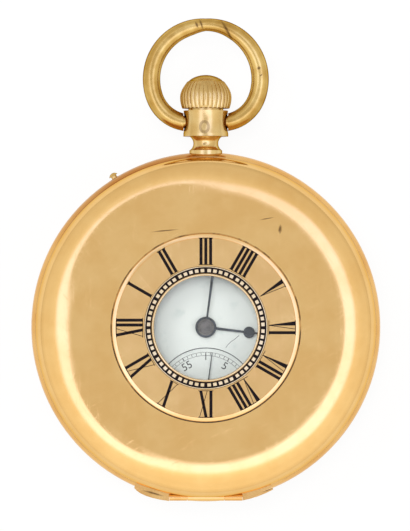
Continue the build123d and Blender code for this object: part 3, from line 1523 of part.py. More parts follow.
nodes = {
    "case_band": case_band,
    "front_lid": front_lid,
    "lid_chapter_disc": chapter_disc,
    "lid_glass": lid_glass,
    "back_cover": back_cover,
    "cuvette": cuvette,
    "hinge_pins": hinge_pins,
    "cuvette_hinge_pin": cuvette_hinge_pin,
    "lock_spring": lock_spring,
    "fly_spring": fly_spring,
    "inner_bezel": inner_bezel,
    "dial_glass": dial_glass,
    "pendant": pendant,
    "bow": bow,
    "crown": crown,
    "push_sleeve": push_sleeve,
    "winding_stem": winding_stem,
    "setting_pusher": setting_pusher,
    "setting_lever": setting_lever,
    "main_plate": main_plate,
    "barrel_bridge": barrel_bridge,
    "train_bridge": train_bridge,
    "balance_cock": balance_cock,
    "pallet_cock": pallet_cock,
    "bridge_screws": bridge_screws,
    "jewels": jewels,
    "barrel_drum": barrel_drum,
    "barrel_cover": barrel_cover,
    "barrel_arbor": barrel_arbor,
    "mainspring": mainspring,
    "winding_pinion": winding_pinion,
    "clutch_wheel": clutch_wheel,
    "crown_wheel": crown_wheel,
    "crown_gear": crown_gear,
    "ratchet_wheel": ratchet_wheel,
    "click": click,
    "click_spring": click_spring,
    "centre_wheel": centre_wheel,
    "third_wheel": third_wheel,
    "fourth_wheel": fourth_wheel,
    "escape_wheel": escape_wheel,
    "pallet_fork": pallet_fork,
    "pallet_stones": pallet_stones,
    "balance_wheel": balance_wheel,
    "balance_staff": balance_staff,
    "roller": roller,
    "hairspring": hairspring,
    "hairspring_stud": hairspring_stud,
    "regulator": regulator,
    "cannon_pinion": cannon_pinion,
    "minute_wheel": minute_wheel,
    "hour_wheel": hour_wheel,
    "dial": dial,
    "hour_hand": hour_hand,
    "minute_hand": minute_hand,
    "seconds_hand": seconds_hand,
}

for name, make in nodes.items():
    write(name, make())
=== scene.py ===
# %% [markdown]
# # A half hunter pocket watch
#
# A half hunter is a pocket watch with a hinged front lid that has a small round window in its
# middle. With the lid shut, the hands are read through the window against a second ring of hours,
# which is filled with black enamel in the gold of the lid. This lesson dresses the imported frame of
# such a watch: every piece gets the finish of the real one, and the pieces whose detail is too fine
# for the frame are modelled here.

# %% Load the frame
import math
import bpy
import bmesh
from mathutils import Matrix, Vector


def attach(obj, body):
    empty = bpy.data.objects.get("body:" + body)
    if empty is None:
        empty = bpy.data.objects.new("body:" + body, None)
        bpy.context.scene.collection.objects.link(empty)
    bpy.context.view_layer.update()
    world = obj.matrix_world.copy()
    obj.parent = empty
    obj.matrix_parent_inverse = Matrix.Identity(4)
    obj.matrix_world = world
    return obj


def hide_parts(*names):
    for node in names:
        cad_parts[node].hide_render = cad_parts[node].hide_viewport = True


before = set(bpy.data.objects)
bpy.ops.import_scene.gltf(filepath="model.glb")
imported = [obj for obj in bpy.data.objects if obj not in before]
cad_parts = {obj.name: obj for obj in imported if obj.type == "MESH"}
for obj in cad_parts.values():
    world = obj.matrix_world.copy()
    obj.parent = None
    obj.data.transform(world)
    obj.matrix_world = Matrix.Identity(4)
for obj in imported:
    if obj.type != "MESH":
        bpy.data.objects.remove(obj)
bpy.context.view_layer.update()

# %% [markdown]
# ## The camera and the stage
#
# The photograph looks straight down on the watch, so the camera hangs over it, far enough away that
# the thick case shows little of its sides. A long lens keeps the case round. The lens follows from
# the size of one pixel in the plane of the case: the frame is 531 pixels high and one pixel is
# 0.1433 mm. The middle of the picture is given in pixels from the axis of the case.

# %% Camera
mm = 0.001
scene = bpy.context.scene
pixel = 0.1433 * mm
frame_height = 531 * pixel
picture_middle = (-0.8, 61.3)
camera_distance = 500 * mm
middle = 7.2
sensor = 36
camera_data = bpy.data.cameras.new("camera")
camera_data.sensor_width = sensor
camera_data.lens = sensor * camera_distance / frame_height
camera_data.clip_start = 0.01
camera_data.clip_end = 20
camera = bpy.data.objects.new("camera", camera_data)
camera.location = (picture_middle[0] * pixel, picture_middle[1] * pixel, middle * mm + camera_distance)
scene.collection.objects.link(camera)
scene.camera = camera
scene.view_settings.view_transform = "Standard"
print("lens", round(camera_data.lens, 1), "mm")

# %% [markdown]
# Small helpers carry all the materials. The first turns a colour as a painter writes it, in sRGB
# hex, into the linear numbers that a shader works with. The second adds one node, sets its options,
# and fills or links its sockets. The others are short names for the sums, ranges, ramps, mixes and
# bumps that every finish needs, so that a material reads from top to bottom like a recipe.


# %% Helpers for colour and nodes
def linear(colour):
    """An sRGB hex colour as linear red, green, blue and 1."""
    shares = [int(colour[place:place + 2], 16) / 255 for place in (1, 3, 5)]
    return [share / 12.92 if share <= 0.04045 else ((share + 0.055) / 1.055) ** 2.4
            for share in shares] + [1]


def add(tree, kind, inputs=None, **settings):
    """One node with its settings; an input is a value or another node's socket."""
    node = tree.nodes.new("ShaderNode" + kind)
    for name, value in settings.items():
        setattr(node, name, value)
    for name, value in (inputs or {}).items():
        if isinstance(value, bpy.types.NodeSocket):
            tree.links.new(value, node.inputs[name])
        else:
            node.inputs[name].default_value = value
    return node


def calculate(tree, operation, *values):
    """The result of one sum, product or the like."""
    return add(tree, "Math", dict(enumerate(values)), operation=operation).outputs["Value"]


def remap(tree, value, start, end, low=0.0, high=1.0):
    """A value carried from one range to another and held at its ends."""
    made = add(tree, "MapRange", {"Value": value, "From Min": start, "From Max": end,
                                  "To Min": low, "To Max": high})
    return made.outputs["Result"]


def stops(ramp, *pairs):
    """Sets the stops of a colour ramp from pairs of a place and a hex colour."""
    band = ramp.color_ramp
    while len(band.elements) < len(pairs):
        band.elements.new(0.5)
    for element, (place, colour) in zip(band.elements, pairs):
        element.position = place
        element.color = linear(colour)
    return ramp.outputs["Color"]


def blend(tree, share, tint, colour):
    """A tint mixed with a hex colour by a share."""
    made = add(tree, "Mix", {"Factor": share, "A": tint, "B": linear(colour)}, data_type="RGBA")
    return made.outputs["Result"]


def relief(tree, height, depth, under=None):
    """A bump of a depth in millimetres, laid over another one where there is one."""
    made = add(tree, "Bump", {"Height": height, "Distance": depth * mm, "Strength": 1.0})
    if under is not None:
        tree.links.new(under, made.inputs["Normal"])
    return made.outputs["Normal"]


def blank_material(name):
    """A new material and its empty node tree."""
    made = bpy.data.materials.new(name)
    made.use_nodes = True
    made.node_tree.nodes.clear()
    return made, made.node_tree


print("white", linear("#FFFFFF"))

# %% [markdown]
# Polished gold has hardly a colour of its own: it shows the room. The room here is a plain one of
# soft grey, with a bright ring of panels round the camera. The flat middle of the lid mirrors the
# quiet part beside the camera, and its rolled shoulder mirrors the ring, which is the pale band
# round the lid in the photograph. The height of a direction above the floor sets its brightness.
# The ring swings outwards at the upper left and the lower left, it is narrower towards the pendant
# and the foot, and a slow noise keeps it from being even. The walls are brighter towards the foot.
# The light of the ring is cool, which makes its picture in the gold nearly white, and matt surfaces
# get little of it.

# %% Room
world = bpy.data.worlds.new("room")
scene.world = world
world.use_nodes = True
room = world.node_tree
room.nodes.clear()
heading = add(room, "TexCoord").outputs["Generated"]
rise = add(room, "SeparateXYZ", {"Vector": heading}).outputs["Z"]
flat = add(room, "VectorMath", {0: heading, 1: (1, 1, 0)}, operation="MULTIPLY")
aim = add(room, "VectorMath", {0: flat.outputs["Vector"]}, operation="NORMALIZE").outputs["Vector"]


def toward(side, start, amount):
    """A number that grows from 0 as a direction turns towards one side of the room."""
    facing = add(room, "VectorMath", {0: aim, 1: (*side, 0)}, operation="DOT_PRODUCT")
    return remap(room, facing.outputs["Value"], start, 1.0, 0.0, amount)


pendant_side = (-0.34, 0.94)
upper_left = (-0.64, 0.77)
lower_left = (-0.71, -0.71)
foot_side = (0, -1)
ring_inside = (0.974, 0.989)
ring_outside = (0.79, 0.85)
gap = toward(pendant_side, 0.45, 1.0)
gap_width = toward(pendant_side, 0.45, 0.11)
uneven = add(room, "TexNoise", {"Vector": heading, "Scale": 2.6, "Detail": 1.0}).outputs["Fac"]
sway = remap(room, uneven, 0.35, 0.65, -0.006, 0.006)
swing = calculate(room, "ADD", toward(upper_left, 0.7, 0.14), toward(lower_left, 0.88, 0.06))
moved = calculate(room, "ADD", swing, sway)
height = calculate(room, "ADD", rise, moved)
narrow = calculate(room, "MAXIMUM", toward(foot_side, 0.75, 0.07), gap_width)
lowered = calculate(room, "SUBTRACT", height, narrow)
panels = stops(add(room, "ValToRGB", {"Fac": height}), (0.0, "#D2CEC5"), (0.35, "#E6E3DB"),
               (0.62, "#E8E5DE"), (0.78, "#F0EEE8"), (0.88, "#FFFFFF"))
outer = remap(room, lowered, *ring_outside)
inner = remap(room, height, *ring_inside, 1.0, 0.0)
ring = calculate(room, "MULTIPLY", outer, inner)
power = remap(room, gap, 0.0, 1.0, 1.3, 1.0)
lower = remap(room, toward(foot_side, -1.0, 1.0), 0.0, 1.0, 1.0, 1.45)
walls = remap(room, height, *ring_inside, lower, 0.81)
ray = add(room, "LightPath").outputs
dim = remap(room, ray["Is Diffuse Ray"], 0.0, 1.0, 1.0, 0.6)
wall_strength = calculate(room, "MULTIPLY", walls, dim)
wall_light = add(room, "Background", {"Color": panels, "Strength": wall_strength})
cool_power = calculate(room, "SUBTRACT", power, ray["Is Diffuse Ray"])
ring_strength = calculate(room, "MULTIPLY", ring, cool_power)
ring_light = add(room, "Background", {"Color": linear("#89A2FF"), "Strength": ring_strength})
lit_room = add(room, "AddShader", {0: wall_light.outputs["Background"],
                                   1: ring_light.outputs["Background"]})
white = add(room, "Background", {"Color": (1, 1, 1, 1), "Strength": 1.0})
both = add(room, "MixShader", {0: ray["Is Camera Ray"], 1: lit_room.outputs["Shader"],
                               2: white.outputs["Background"]})
add(room, "OutputWorld", {"Surface": both.outputs["Shader"]})
print("room nodes", len(room.nodes))

# %% [markdown]
# The floor is a plain pale sheet. To the camera, and to whatever mirrors it, it is nearly white, as
# a cut-out photograph is, and it still takes a soft shadow of the watch. From below it is clear, so
# that the back of the case can be looked at too.

# %% Floor
sheet_mesh = bpy.data.meshes.new("floor")
sheet = bmesh.new()
bmesh.ops.create_grid(sheet, x_segments=1, y_segments=1, size=2.0)
sheet.to_mesh(sheet_mesh)
sheet.free()
floor = bpy.data.objects.new("floor", sheet_mesh)
floor.location = (0, 0, -0.02 * mm)
scene.collection.objects.link(floor)
floor_paint, tree = blank_material("pale_floor")
path = add(tree, "LightPath").outputs
mirrored = calculate(tree, "MAXIMUM", path["Is Glossy Ray"], path["Is Transmission Ray"])
shown = calculate(tree, "MAXIMUM", path["Is Camera Ray"], mirrored)
share = calculate(tree, "MULTIPLY", shown, 0.92)
matt = add(tree, "BsdfDiffuse", {"Color": linear("#E4E2DE")})
glow = add(tree, "Emission", {"Color": (1, 1, 1, 1), "Strength": 1.0})
mixed = add(tree, "MixShader", {0: share, 1: matt.outputs["BSDF"], 2: glow.outputs["Emission"]})
below = add(tree, "NewGeometry").outputs["Backfacing"]
through = add(tree, "BsdfTransparent")
sided = add(tree, "MixShader", {0: below, 1: mixed.outputs["Shader"], 2: through.outputs["BSDF"]})
add(tree, "OutputMaterial", {"Surface": sided.outputs["Shader"]})
floor.data.materials.append(floor_paint)
print("floor at", round(1000 * floor.location.z, 3), "mm")

# %% [markdown]
# Two soft lamps light the enamel and throw the short shadow inside the window. A third, close to
# the camera, shines down through the window on the dial, which sees little of the room. The gold
# mirrors only the room, so that no lamp shows as a square in it.


# %% Lamps
def soft_lamp(name, place, size, power):
    """A square lamp that looks at the watch."""
    lamp_data = bpy.data.lights.new(name, "AREA")
    lamp_data.size = size
    lamp_data.energy = power
    lamp = bpy.data.objects.new(name, lamp_data)
    lamp.location = place
    lamp.rotation_euler = (-Vector(place)).to_track_quat("-Z", "Y").to_euler()
    lamp.visible_glossy = False
    scene.collection.objects.link(lamp)


soft_lamp("lamp_upper_left", (-0.45, 0.35, 0.75), 0.35, 2.4)
soft_lamp("lamp_right", (0.55, -0.1, 0.6), 0.3, 1.2)
soft_lamp("lamp_overhead", (-0.06, 0.12, 0.9), 0.3, 4.6)

# %% [markdown]
# ## Finishes
#
# The case is gold, spun and polished, then carried in a pocket for many years. Three things tell
# that story: broad shallow dents a few millimetres wide that bend the reflections, hairline
# scratches in three directions, and a slight change of colour where fingers have worn it. Real
# scratches are a few hundredths of a millimetre wide, too fine for this picture, so they are drawn
# about a tenth of a millimetre wide.


# %% Polished gold
def object_millimetres(tree, centre=(0, 0, 0), turn=0, stretch=(1, 1, 1)):
    """Object coordinates in millimetres, measured from a centre, turned about Z and stretched."""
    place = add(tree, "TexCoord").outputs["Object"]
    mapped = add(tree, "Mapping", {"Vector": place, "Location": [share * mm for share in centre],
                                   "Rotation": (0, 0, turn), "Scale": [mm / share for share in stretch]},
                 vector_type="TEXTURE")
    return mapped.outputs["Vector"]


def scratches(tree, turn, spacing, length):
    """Lines of one direction: 1 on a scratch and 0 beside it."""
    along = object_millimetres(tree, turn=turn, stretch=(1 / length, 1 / spacing, 1 / spacing))
    lines = add(tree, "TexNoise", {"Vector": along, "Scale": 1.0, "Detail": 2.0, "Roughness": 0.7})
    return remap(tree, lines.outputs["Fac"], 0.63, 0.7)


def old_mark(tree, centre, turn, length, width, hollow=False):
    """A dent, a deep scratch or a painted line of shade as an oval: 1 in the middle, or along the rim,
    and 0 outside.
    """
    spot = object_millimetres(tree, centre, math.radians(turn), (1 / length, 1 / width, 0.4))
    away = add(tree, "VectorMath", {0: spot}, operation="LENGTH").outputs["Value"]
    if hollow:
        return calculate(tree, "COMPARE", away, 1.0, 0.3)
    shaky = add(tree, "TexNoise", {"Vector": spot, "Scale": 1.1, "Detail": 2.0}).outputs["Fac"]
    reach = calculate(tree, "MULTIPLY_ADD", shaky, 0.8, away)
    return remap(tree, reach, 0.7, 1.35, 1.0, 0.0)


def tarnish(tree, tint, aim, reach, colour):
    """A painted reflection and shade: deepens a tint on the side of the case that an aim points to."""
    flat = add(tree, "VectorMath", {0: object_millimetres(tree), 1: (1, 1, 0)}, operation="MULTIPLY")
    side = add(tree, "VectorMath", {0: flat.outputs["Vector"]}, operation="NORMALIZE")
    facing = add(tree, "VectorMath", {0: side.outputs["Vector"], 1: (*aim, 0)},
                 operation="DOT_PRODUCT")
    amount = remap(tree, facing.outputs["Value"], reach, 1.0, 0.0, 0.85)
    return blend(tree, amount, tint, colour)


def polished_gold(name, clean, worn, roughness, dents=0.02, dent_size=7.0, marks=(),
                  edge="#F4D9A8", reflection_side=None):
    """Spun and polished gold that has been carried: dents, hairlines, a worn tint, old marks or painted
    shade lines, and a painted reflection on one side where one is given.
    """
    metal, tree = blank_material(name)
    spot = object_millimetres(tree)
    cloud = add(tree, "TexNoise", {"Vector": spot, "Scale": 1 / 5.5, "Detail": 3.0, "Roughness": 0.6})
    tint = stops(add(tree, "ValToRGB", {"Fac": cloud.outputs["Fac"]}), (0.38, worn), (0.62, clean))
    lines = scratches(tree, 0.5, 0.22, 6.0)
    for turn, spacing, length in ((-0.9, 0.3, 8.0), (1.6, 0.26, 5.0)):
        lines = calculate(tree, "MAXIMUM", lines, scratches(tree, turn, spacing, length))
    haze = add(tree, "TexNoise", {"Vector": spot, "Scale": 1 / 2.0, "Detail": 4.0}).outputs["Fac"]
    dull = remap(tree, haze, 0.3, 0.7, roughness * 0.8, roughness * 1.3)
    rubbed = calculate(tree, "MULTIPLY_ADD", lines, 0.07, dull)
    swell = add(tree, "TexNoise", {"Vector": spot, "Scale": 1 / dent_size, "Detail": 1.5})
    surface = relief(tree, lines, -0.0015, relief(tree, swell.outputs["Fac"], dents))
    # Painted reflection and shade: one side of the case is tinted a deeper orange.
    if reflection_side:
        tint = tarnish(tree, tint, *reflection_side)
    for mark_place in marks:
        mark_or_slit_shade = old_mark(tree, *mark_place)
        surface = relief(tree, mark_or_slit_shade, -0.004, surface)
        # The brown is dirt in real dents and scratches, and painted shade where a mark stands for a dark
        # slit.
        dirt_or_shade_share = 0.4 if len(mark_place) > 4 else 0.8
        tint = blend(tree, calculate(tree, "MULTIPLY", mark_or_slit_shade, dirt_or_shade_share), tint, "#5A3A1C")
    shader = add(tree, "BsdfPrincipled", {"Base Color": tint, "Metallic": 1.0, "Roughness": rubbed,
                                          "Specular Tint": linear(edge), "Normal": surface})
    add(tree, "OutputMaterial", {"Surface": shader.outputs["BSDF"]})
    return metal


lid_marks = [((10.5, 13.9, 14.4), 82, 0.75, 0.32), ((-5.8, 13.7, 14.4), 5, 2.2, 0.13),
             ((8.6, 15.4, 14.4), 10, 1.2, 0.1), ((-10.2, 2.4, 14.4), 0, 0.32, 0.3, True)]
bow_marks = [((3.05, 42.35, 8.0), -62, 2.0, 0.3), ((-1.3, 43.2, 8.0), -70, 0.6, 0.25),
             ((-0.65, 43.3, 8.0), -72, 0.9, 0.22), ((7.6, 37.0, 8.3), 0, 0.35, 0.3),
             ((7.9, 36.0, 8.0), 40, 0.35, 0.15)]
pendant_marks = [((-0.2, 28.55, 10.3), 0, 0.6, 0.75, True), ((-0.25, 26.15, 8.9), 0, 0.16, 0.16)]
# Painted shade: two dark lines at the foot of the band stand for the shaded slits beside the hinge
# cheeks.
band_slit_shade_marks = [((-7.5, -23.62, 10.6), -16, 1.8, 0.2), ((8.9, -23.15, 10.6), 21, 1.2, 0.1)]
# Painted reflection and shade: the band is tinted a deeper orange on its side toward the pendant.
side_reflection_tint = ((-0.42, 0.91), 0.8, "#B0662A")
cover_gold = polished_gold("polished_cover_gold", "#F0C683", "#EBBE79", 0.1)
lid_gold = polished_gold("polished_lid_gold", "#F0C683", "#EBBE79", 0.1, marks=lid_marks)
band_gold = polished_gold("polished_band_gold", "#EDC07C", "#E2AC65", 0.16, marks=band_slit_shade_marks,
                          edge="#F8E5C4", reflection_side=side_reflection_tint)
pendant_gold = polished_gold("polished_pendant_gold", "#E8CB8E", "#D6B06C", 0.2, 0.008, 3.0,
                             pendant_marks, "#A88346")
bow_gold = polished_gold("worn_bow_gold", "#DFBD72", "#BE944A", 0.22, 0.008, 3.0, bow_marks, "#7C5C28")
crown_gold = polished_gold("fluted_crown_gold", "#E8CB8E", "#CDA766", 0.22, 0.004, 3.0, (), "#96723A")
disc_gold = polished_gold("satin_disc_gold", "#EDC587", "#E8BE80", 0.15, dents=0.004, dent_size=3.0)
print("gold finishes ready")


# %% Dress the CAD nodes
def dress(material, *names):
    """Gives CAD nodes a finish by filling their material slots."""
    for name in names:
        for place in range(len(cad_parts[name].material_slots)):
            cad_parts[name].material_slots[place].material = material


dress(lid_gold, "front_lid")
dress(cover_gold, "back_cover", "cuvette")
dress(band_gold, "case_band", "hinge_pins", "cuvette_hinge_pin", "inner_bezel")
dress(pendant_gold, "pendant", "setting_pusher")
dress(bow_gold, "bow")
dress(crown_gold, "crown")
dress(disc_gold, "lid_chapter_disc")

# %% [markdown]
# ## Making new pieces
#
# New pieces are drawn in millimetres and brought to metres at the end, so that every number can be
# compared with a rule. A turned piece, such as a ring, is drawn as half a section and spun round
# the axis of the watch, just as it is turned on a lathe. A pen of three moves draws the section: a
# start, a straight line, and an arc.


# %% A pen, a lathe and a finishing bench
def line_to(work, corner, radius, level):
    """Extrudes the last corner of a section to a new place."""
    made = bmesh.ops.extrude_vert_indiv(work, verts=[corner])["verts"][0]
    made.co = (radius, 0, level)
    return made


def arc_about(work, corner, radius, level, turn, steps=8):
    """Turns the last corner about a point of the section, in degrees, clockwise as drawn."""
    made = bmesh.ops.spin(work, geom=[corner], cent=(radius, 0, level), axis=(0, 1, 0),
                          angle=math.radians(turn), steps=steps, use_duplicate=False)
    return [part for part in made["geom_last"] if isinstance(part, bmesh.types.BMVert)][0]


def spin_round(work, steps):
    """Spins all that is drawn full circle round the axis of the watch."""
    bmesh.ops.spin(work, geom=work.verts[:] + work.edges[:], cent=(0, 0, 0), axis=(0, 0, 1),
                   angle=math.tau, steps=steps, use_merge=True)


def lathe(work, steps=192):
    """Spins a closed section full circle and points its faces outwards."""
    bmesh.ops.remove_doubles(work, verts=work.verts[:], dist=1e-5)
    spin_round(work, steps)
    bmesh.ops.remove_doubles(work, verts=work.verts[:], dist=1e-5)
    bmesh.ops.recalc_face_normals(work, faces=work.faces[:])


def thicken(work, face, height):
    """Raises a flat face to a plate."""
    raised = bmesh.ops.extrude_face_region(work, geom=[face])["geom"]
    corners = [part for part in raised if isinstance(part, bmesh.types.BMVert)]
    bmesh.ops.translate(work, vec=(0, 0, height), verts=corners)


def finish_piece(work, name, body, material, sharp=35):
    """Brings a mesh to metres, makes its object, smooths it, and lets it ride on a body."""
    bmesh.ops.scale(work, vec=(mm, mm, mm), verts=work.verts[:])
    mesh = bpy.data.meshes.new(name)
    work.to_mesh(mesh)
    work.free()
    mesh.shade_smooth()
    mesh.set_sharp_from_angle(angle=math.radians(sharp))
    piece = bpy.data.objects.new(name, mesh)
    scene.collection.objects.link(piece)
    mesh.materials.append(material)
    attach(piece, body)
    print(name, len(mesh.polygons), "faces")
    return piece


# %% [markdown]
# ## The chapter disc
#
# The disc round the window is a separate plate let into the lid. A fine raised bead runs round its
# rim, and a second one holds the glass. Both catch the light as bright rings. The bead of the glass
# is drawn as an arc, and the bead of the rim as a crest that slopes outwards to a rounded edge. The
# flat between them has a satin finish, a little duller than the lid.

# %% Chapter disc
window_edge, disc_edge = 7.35, 13.35
disc_seat, disc_flat = 14.35, 14.63
bead_inside, bead_crest, bead_outside = 12.70, 12.74, 13.18
work = bmesh.new()
pen = work.verts.new((window_edge, 0, disc_seat))
pen = line_to(work, pen, window_edge, 14.66)
pen = arc_about(work, pen, 7.49, 14.60, 132)
pen = line_to(work, pen, 7.64, disc_flat)
pen = line_to(work, pen, bead_inside, disc_flat)
pen = line_to(work, pen, bead_crest, 14.735)
pen = line_to(work, pen, bead_outside, disc_flat)
pen = arc_about(work, pen, 13.15, 14.505, 76, 6)
pen = line_to(work, pen, disc_edge, 14.39)
pen = line_to(work, pen, window_edge, disc_seat)
lathe(work, 256)
disc_piece = finish_piece(work, "chapter_disc_turned", "front_lid", disc_gold, 40)
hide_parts("lid_chapter_disc")

# %% [markdown]
# Painted shadow: a thin, broken, dark line lies in the corner between the disc and the lid, where shade
# falls, and it is stronger at the lower side. A flat ring carries it, whose paint is clear where the
# noise is low.

# %% Painted shadow round the disc
corner_shadow_paint, tree = blank_material("painted_corner_shadow")
broken = add(tree, "TexNoise", {"Vector": object_millimetres(tree), "Scale": 1 / 1.7, "Detail": 3.0})
down = add(tree, "SeparateXYZ", {"Vector": object_millimetres(tree)}).outputs["Y"]
# Painted shadow, stronger towards the lower side.
lower_side_shadow = calculate(tree, "MULTIPLY_ADD", down, -0.014, broken.outputs["Fac"])
cover = remap(tree, lower_side_shadow, 0.35, 0.62, 0.12, 0.92)
shadow_shader = add(tree, "BsdfPrincipled", {"Base Color": linear("#2B1B0F"), "Roughness": 0.8})
clear = add(tree, "BsdfTransparent")
film = add(tree, "MixShader", {0: cover, 1: clear.outputs["BSDF"], 2: shadow_shader.outputs["BSDF"]})
add(tree, "OutputMaterial", {"Surface": film.outputs["Shader"]})
shadow_level = 14.402
work = bmesh.new()
pen = work.verts.new((disc_edge + 0.002, 0, shadow_level))
pen = line_to(work, pen, 13.47, shadow_level)
spin_round(work, 192)
work.normal_update()
bmesh.ops.reverse_faces(work, faces=[face for face in work.faces if face.normal.z < 0])
finish_piece(work, "painted_corner_shadow_line", "front_lid", corner_shadow_paint)

# %% [markdown]
# ## Numerals of black enamel
#
# The hours are cut into the gold and filled with black enamel, which is fired and polished flush.
# Roman numerals on such a ring stand on the circle like spokes, with their feet to the middle:
# broad bars, hairline thin strokes in V and X, and a hairline serif that joins the ends of all the
# strokes. On this watch the ring sits a quarter turn round from the dial, so that III is at the
# top. Each stroke is one flat face drawn upright at twelve o'clock, and the whole numeral is then
# turned to its hour.

# %% Strokes of a numeral
bar_width = 0.43
bar_gap = 0.25
hair_width = 0.09
serif_reach = 0.12


def stroke(work, left_foot, right_foot, left_top, right_top, foot, top, level):
    """One flat stroke between two radii, from its four x places."""
    places = ((left_foot, foot), (right_foot, foot), (right_top, top), (left_top, top))
    corners = [work.verts.new((across, out, level)) for across, out in places]
    work.faces.new(corners)
    return corners


def letter_width(letter):
    """The width of a letter whose broad strokes are one bar wide."""
    return {"I": bar_width, "V": 1.15, "X": 1.2}[letter]


def draw_letter(work, letter, left, foot, top, level, broad, hair):
    """The strokes of one letter of a numeral, from its left edge."""
    right = left + letter_width(letter) * broad / bar_width
    if letter == "I":
        return stroke(work, left, left + broad, left, left + broad, foot, top, level)
    middle_left, middle_right = (left + right - hair) / 2, (left + right + hair) / 2
    if letter == "V":
        made = stroke(work, middle_left, middle_right, left, left + 1.4 * broad, foot, top, level)
        return made + stroke(work, middle_left, middle_right, right - hair, right, foot, top, level)
    made = stroke(work, right - broad, right, left, left + broad, foot, top, level)
    return made + stroke(work, left, left + hair, right - hair, right, foot, top, level)


def draw_numeral(work, text, hour_angle, foot, top, level, broad, gap, hair):
    """A whole numeral with serifs, turned clockwise from the top by an angle in degrees."""
    widths = [letter_width(letter) * broad / bar_width for letter in text]
    total = sum(widths) + gap * (len(text) - 1)
    left = -total / 2
    made = []
    for letter, width in zip(text, widths):
        made += draw_letter(work, letter, left, foot, top, level, broad, hair)
        left += width + gap
    reach = total / 2 + serif_reach * broad / bar_width
    made += stroke(work, -reach, reach, -reach, reach, top - hair, top, level)
    if text != "V":
        made += stroke(work, -reach, reach, -reach, reach, foot, foot + hair, level)
    turn = Matrix.Rotation(-math.radians(hour_angle), 4, "Z")
    bmesh.ops.transform(work, matrix=turn, verts=made)


numerals = ["XII", "I", "II", "III", "IIII", "V", "VI", "VII", "VIII", "IX", "X", "XI"]
print(len(numerals), "numerals")

# %% [markdown]
# Black enamel is glass with a metal oxide in it: nearly black, with a weak highlight where it has
# been polished. Where it has aged, it is flecked with dark brown. White enamel and ruby are made by
# the same recipe.


# %% Enamels
def enamel(name, colour, speck, roughness, speck_size, gloss=0.5, coat=0.0):
    """Fired glass on metal: an even colour, a few specks, a glassy surface."""
    glaze, tree = blank_material(name)
    spot = object_millimetres(tree)
    grain = add(tree, "TexNoise", {"Vector": spot, "Scale": 1 / speck_size, "Detail": 3.0,
                                   "Roughness": 0.65}).outputs["Fac"]
    tint = stops(add(tree, "ValToRGB", {"Fac": grain}), (0.30, speck), (0.42, colour))
    ripple = add(tree, "TexNoise", {"Vector": spot, "Scale": 1 / 4.0, "Detail": 1.0}).outputs["Fac"]
    dull = remap(tree, grain, 0.0, 1.0, roughness * 0.7, roughness * 1.4)
    shader = add(tree, "BsdfPrincipled", {"Base Color": tint, "Roughness": dull, "IOR": 1.52,
                                          "Specular IOR Level": gloss, "Coat Weight": coat,
                                          "Normal": relief(tree, ripple, 0.01)})
    add(tree, "OutputMaterial", {"Surface": shader.outputs["BSDF"]})
    return glaze


black_enamel = enamel("black_champleve_enamel", "#0D0504", "#2A180E", 0.3, 0.7, gloss=0.12)
print(black_enamel.name)

# %% Numerals of the lid
print_rise = 0.008
disc_level = disc_flat + print_rise
hour_step = 30
quarter_turn = -3
numeral_foot, numeral_top = 8.86, 12.68
work = bmesh.new()
for place, text in enumerate(numerals):
    draw_numeral(work, text, (place + quarter_turn) * hour_step, numeral_foot, numeral_top, disc_level,
                 bar_width, bar_gap, hair_width)
finish_piece(work, "lid_numerals", "front_lid", black_enamel)

# %% [markdown]
# ## The minute track of the lid
#
# Between the window and the numerals lies a black ring with sixty small squares of bare gold, one
# for each minute, and a broader black bar at each hour. The ring is one flat washer of black
# enamel; the squares lie on it. The squares and the gold line round it are a painted highlight,
# paler than the satin disc, and a pale ring on the crest of the window's bead is a painted highlight.


# %% Flat rings and squares
def washer(work, inner, outer, level, steps=192, centre=(0, 0)):
    """A flat ring: one line spun round an upright axis."""
    ends = [work.verts.new((centre[0] + radius, centre[1], level)) for radius in (inner, outer)]
    edge = work.edges.new(ends)
    bmesh.ops.spin(work, geom=ends + [edge], cent=(*centre, level), axis=(0, 0, 1), angle=math.tau,
                   steps=steps, use_merge=True)


def face_up(work):
    """Turns every flat face of a print to look up."""
    bmesh.ops.remove_doubles(work, verts=work.verts[:], dist=1e-5)
    work.normal_update()
    down = [face for face in work.faces if face.normal.z < 0]
    bmesh.ops.reverse_faces(work, faces=down)


def mark(work, inner, outer, width, angle, level, centre=(0, 0)):
    """A short radial mark, clockwise from the top by an angle."""
    made = stroke(work, -width / 2, width / 2, -width / 2, width / 2, inner, outer, level)
    place = Matrix.Translation((*centre, 0)) @ Matrix.Rotation(-math.radians(angle), 4, "Z")
    bmesh.ops.transform(work, matrix=place, verts=made)


black_ring = (7.66, 8.56)
gold_line = (8.56, 8.64)
black_line = (8.68, 8.73)
square = (7.86, 8.31, 0.5)
bead_highlight_ring = (7.43, 7.56)
work = bmesh.new()
washer(work, *black_ring, disc_level)
washer(work, *black_line, disc_level)
face_up(work)
finish_piece(work, "lid_minute_track", "front_lid", black_enamel)

bead_top = 14.7522
square_rise, line_rise = 0.006, 0.004
minute_pitch = 5.82
# Painted highlight: a paler copy of the disc gold for the squares, the gold line and the bead's crest.
pale_highlight_gold = polished_gold("pale_highlight_gold", "#FFEBC8", "#F6DDB0", 0.2, dents=0.004,
                                dent_size=3.0, edge="#FFF6E0")
work = bmesh.new()
for minute in range(60):
    hour, step = divmod(minute, 5)
    between_hours = (hour + 0.5) * hour_step
    mark(work, *square, between_hours + (step - 2) * minute_pitch, disc_level + square_rise)
washer(work, *gold_line, disc_level + line_rise)
# Painted highlight: a pale flat ring laid on the crest of the window's bead.
washer(work, *bead_highlight_ring, bead_top)
face_up(work)
finish_piece(work, "lid_minute_squares", "front_lid", pale_highlight_gold)

# %% [markdown]
# ## The foot of the case
#
# At the foot, beside the hinge, the case has two small cheeks that close the step between the
# knuckles and the round wall. The left one is drawn out to a lip, where a fingernail finds a hold.
# Each is a flat outline, cut round the wall and raised almost to the top of the band. They stand
# outside the lid, so that it clears them when it opens.

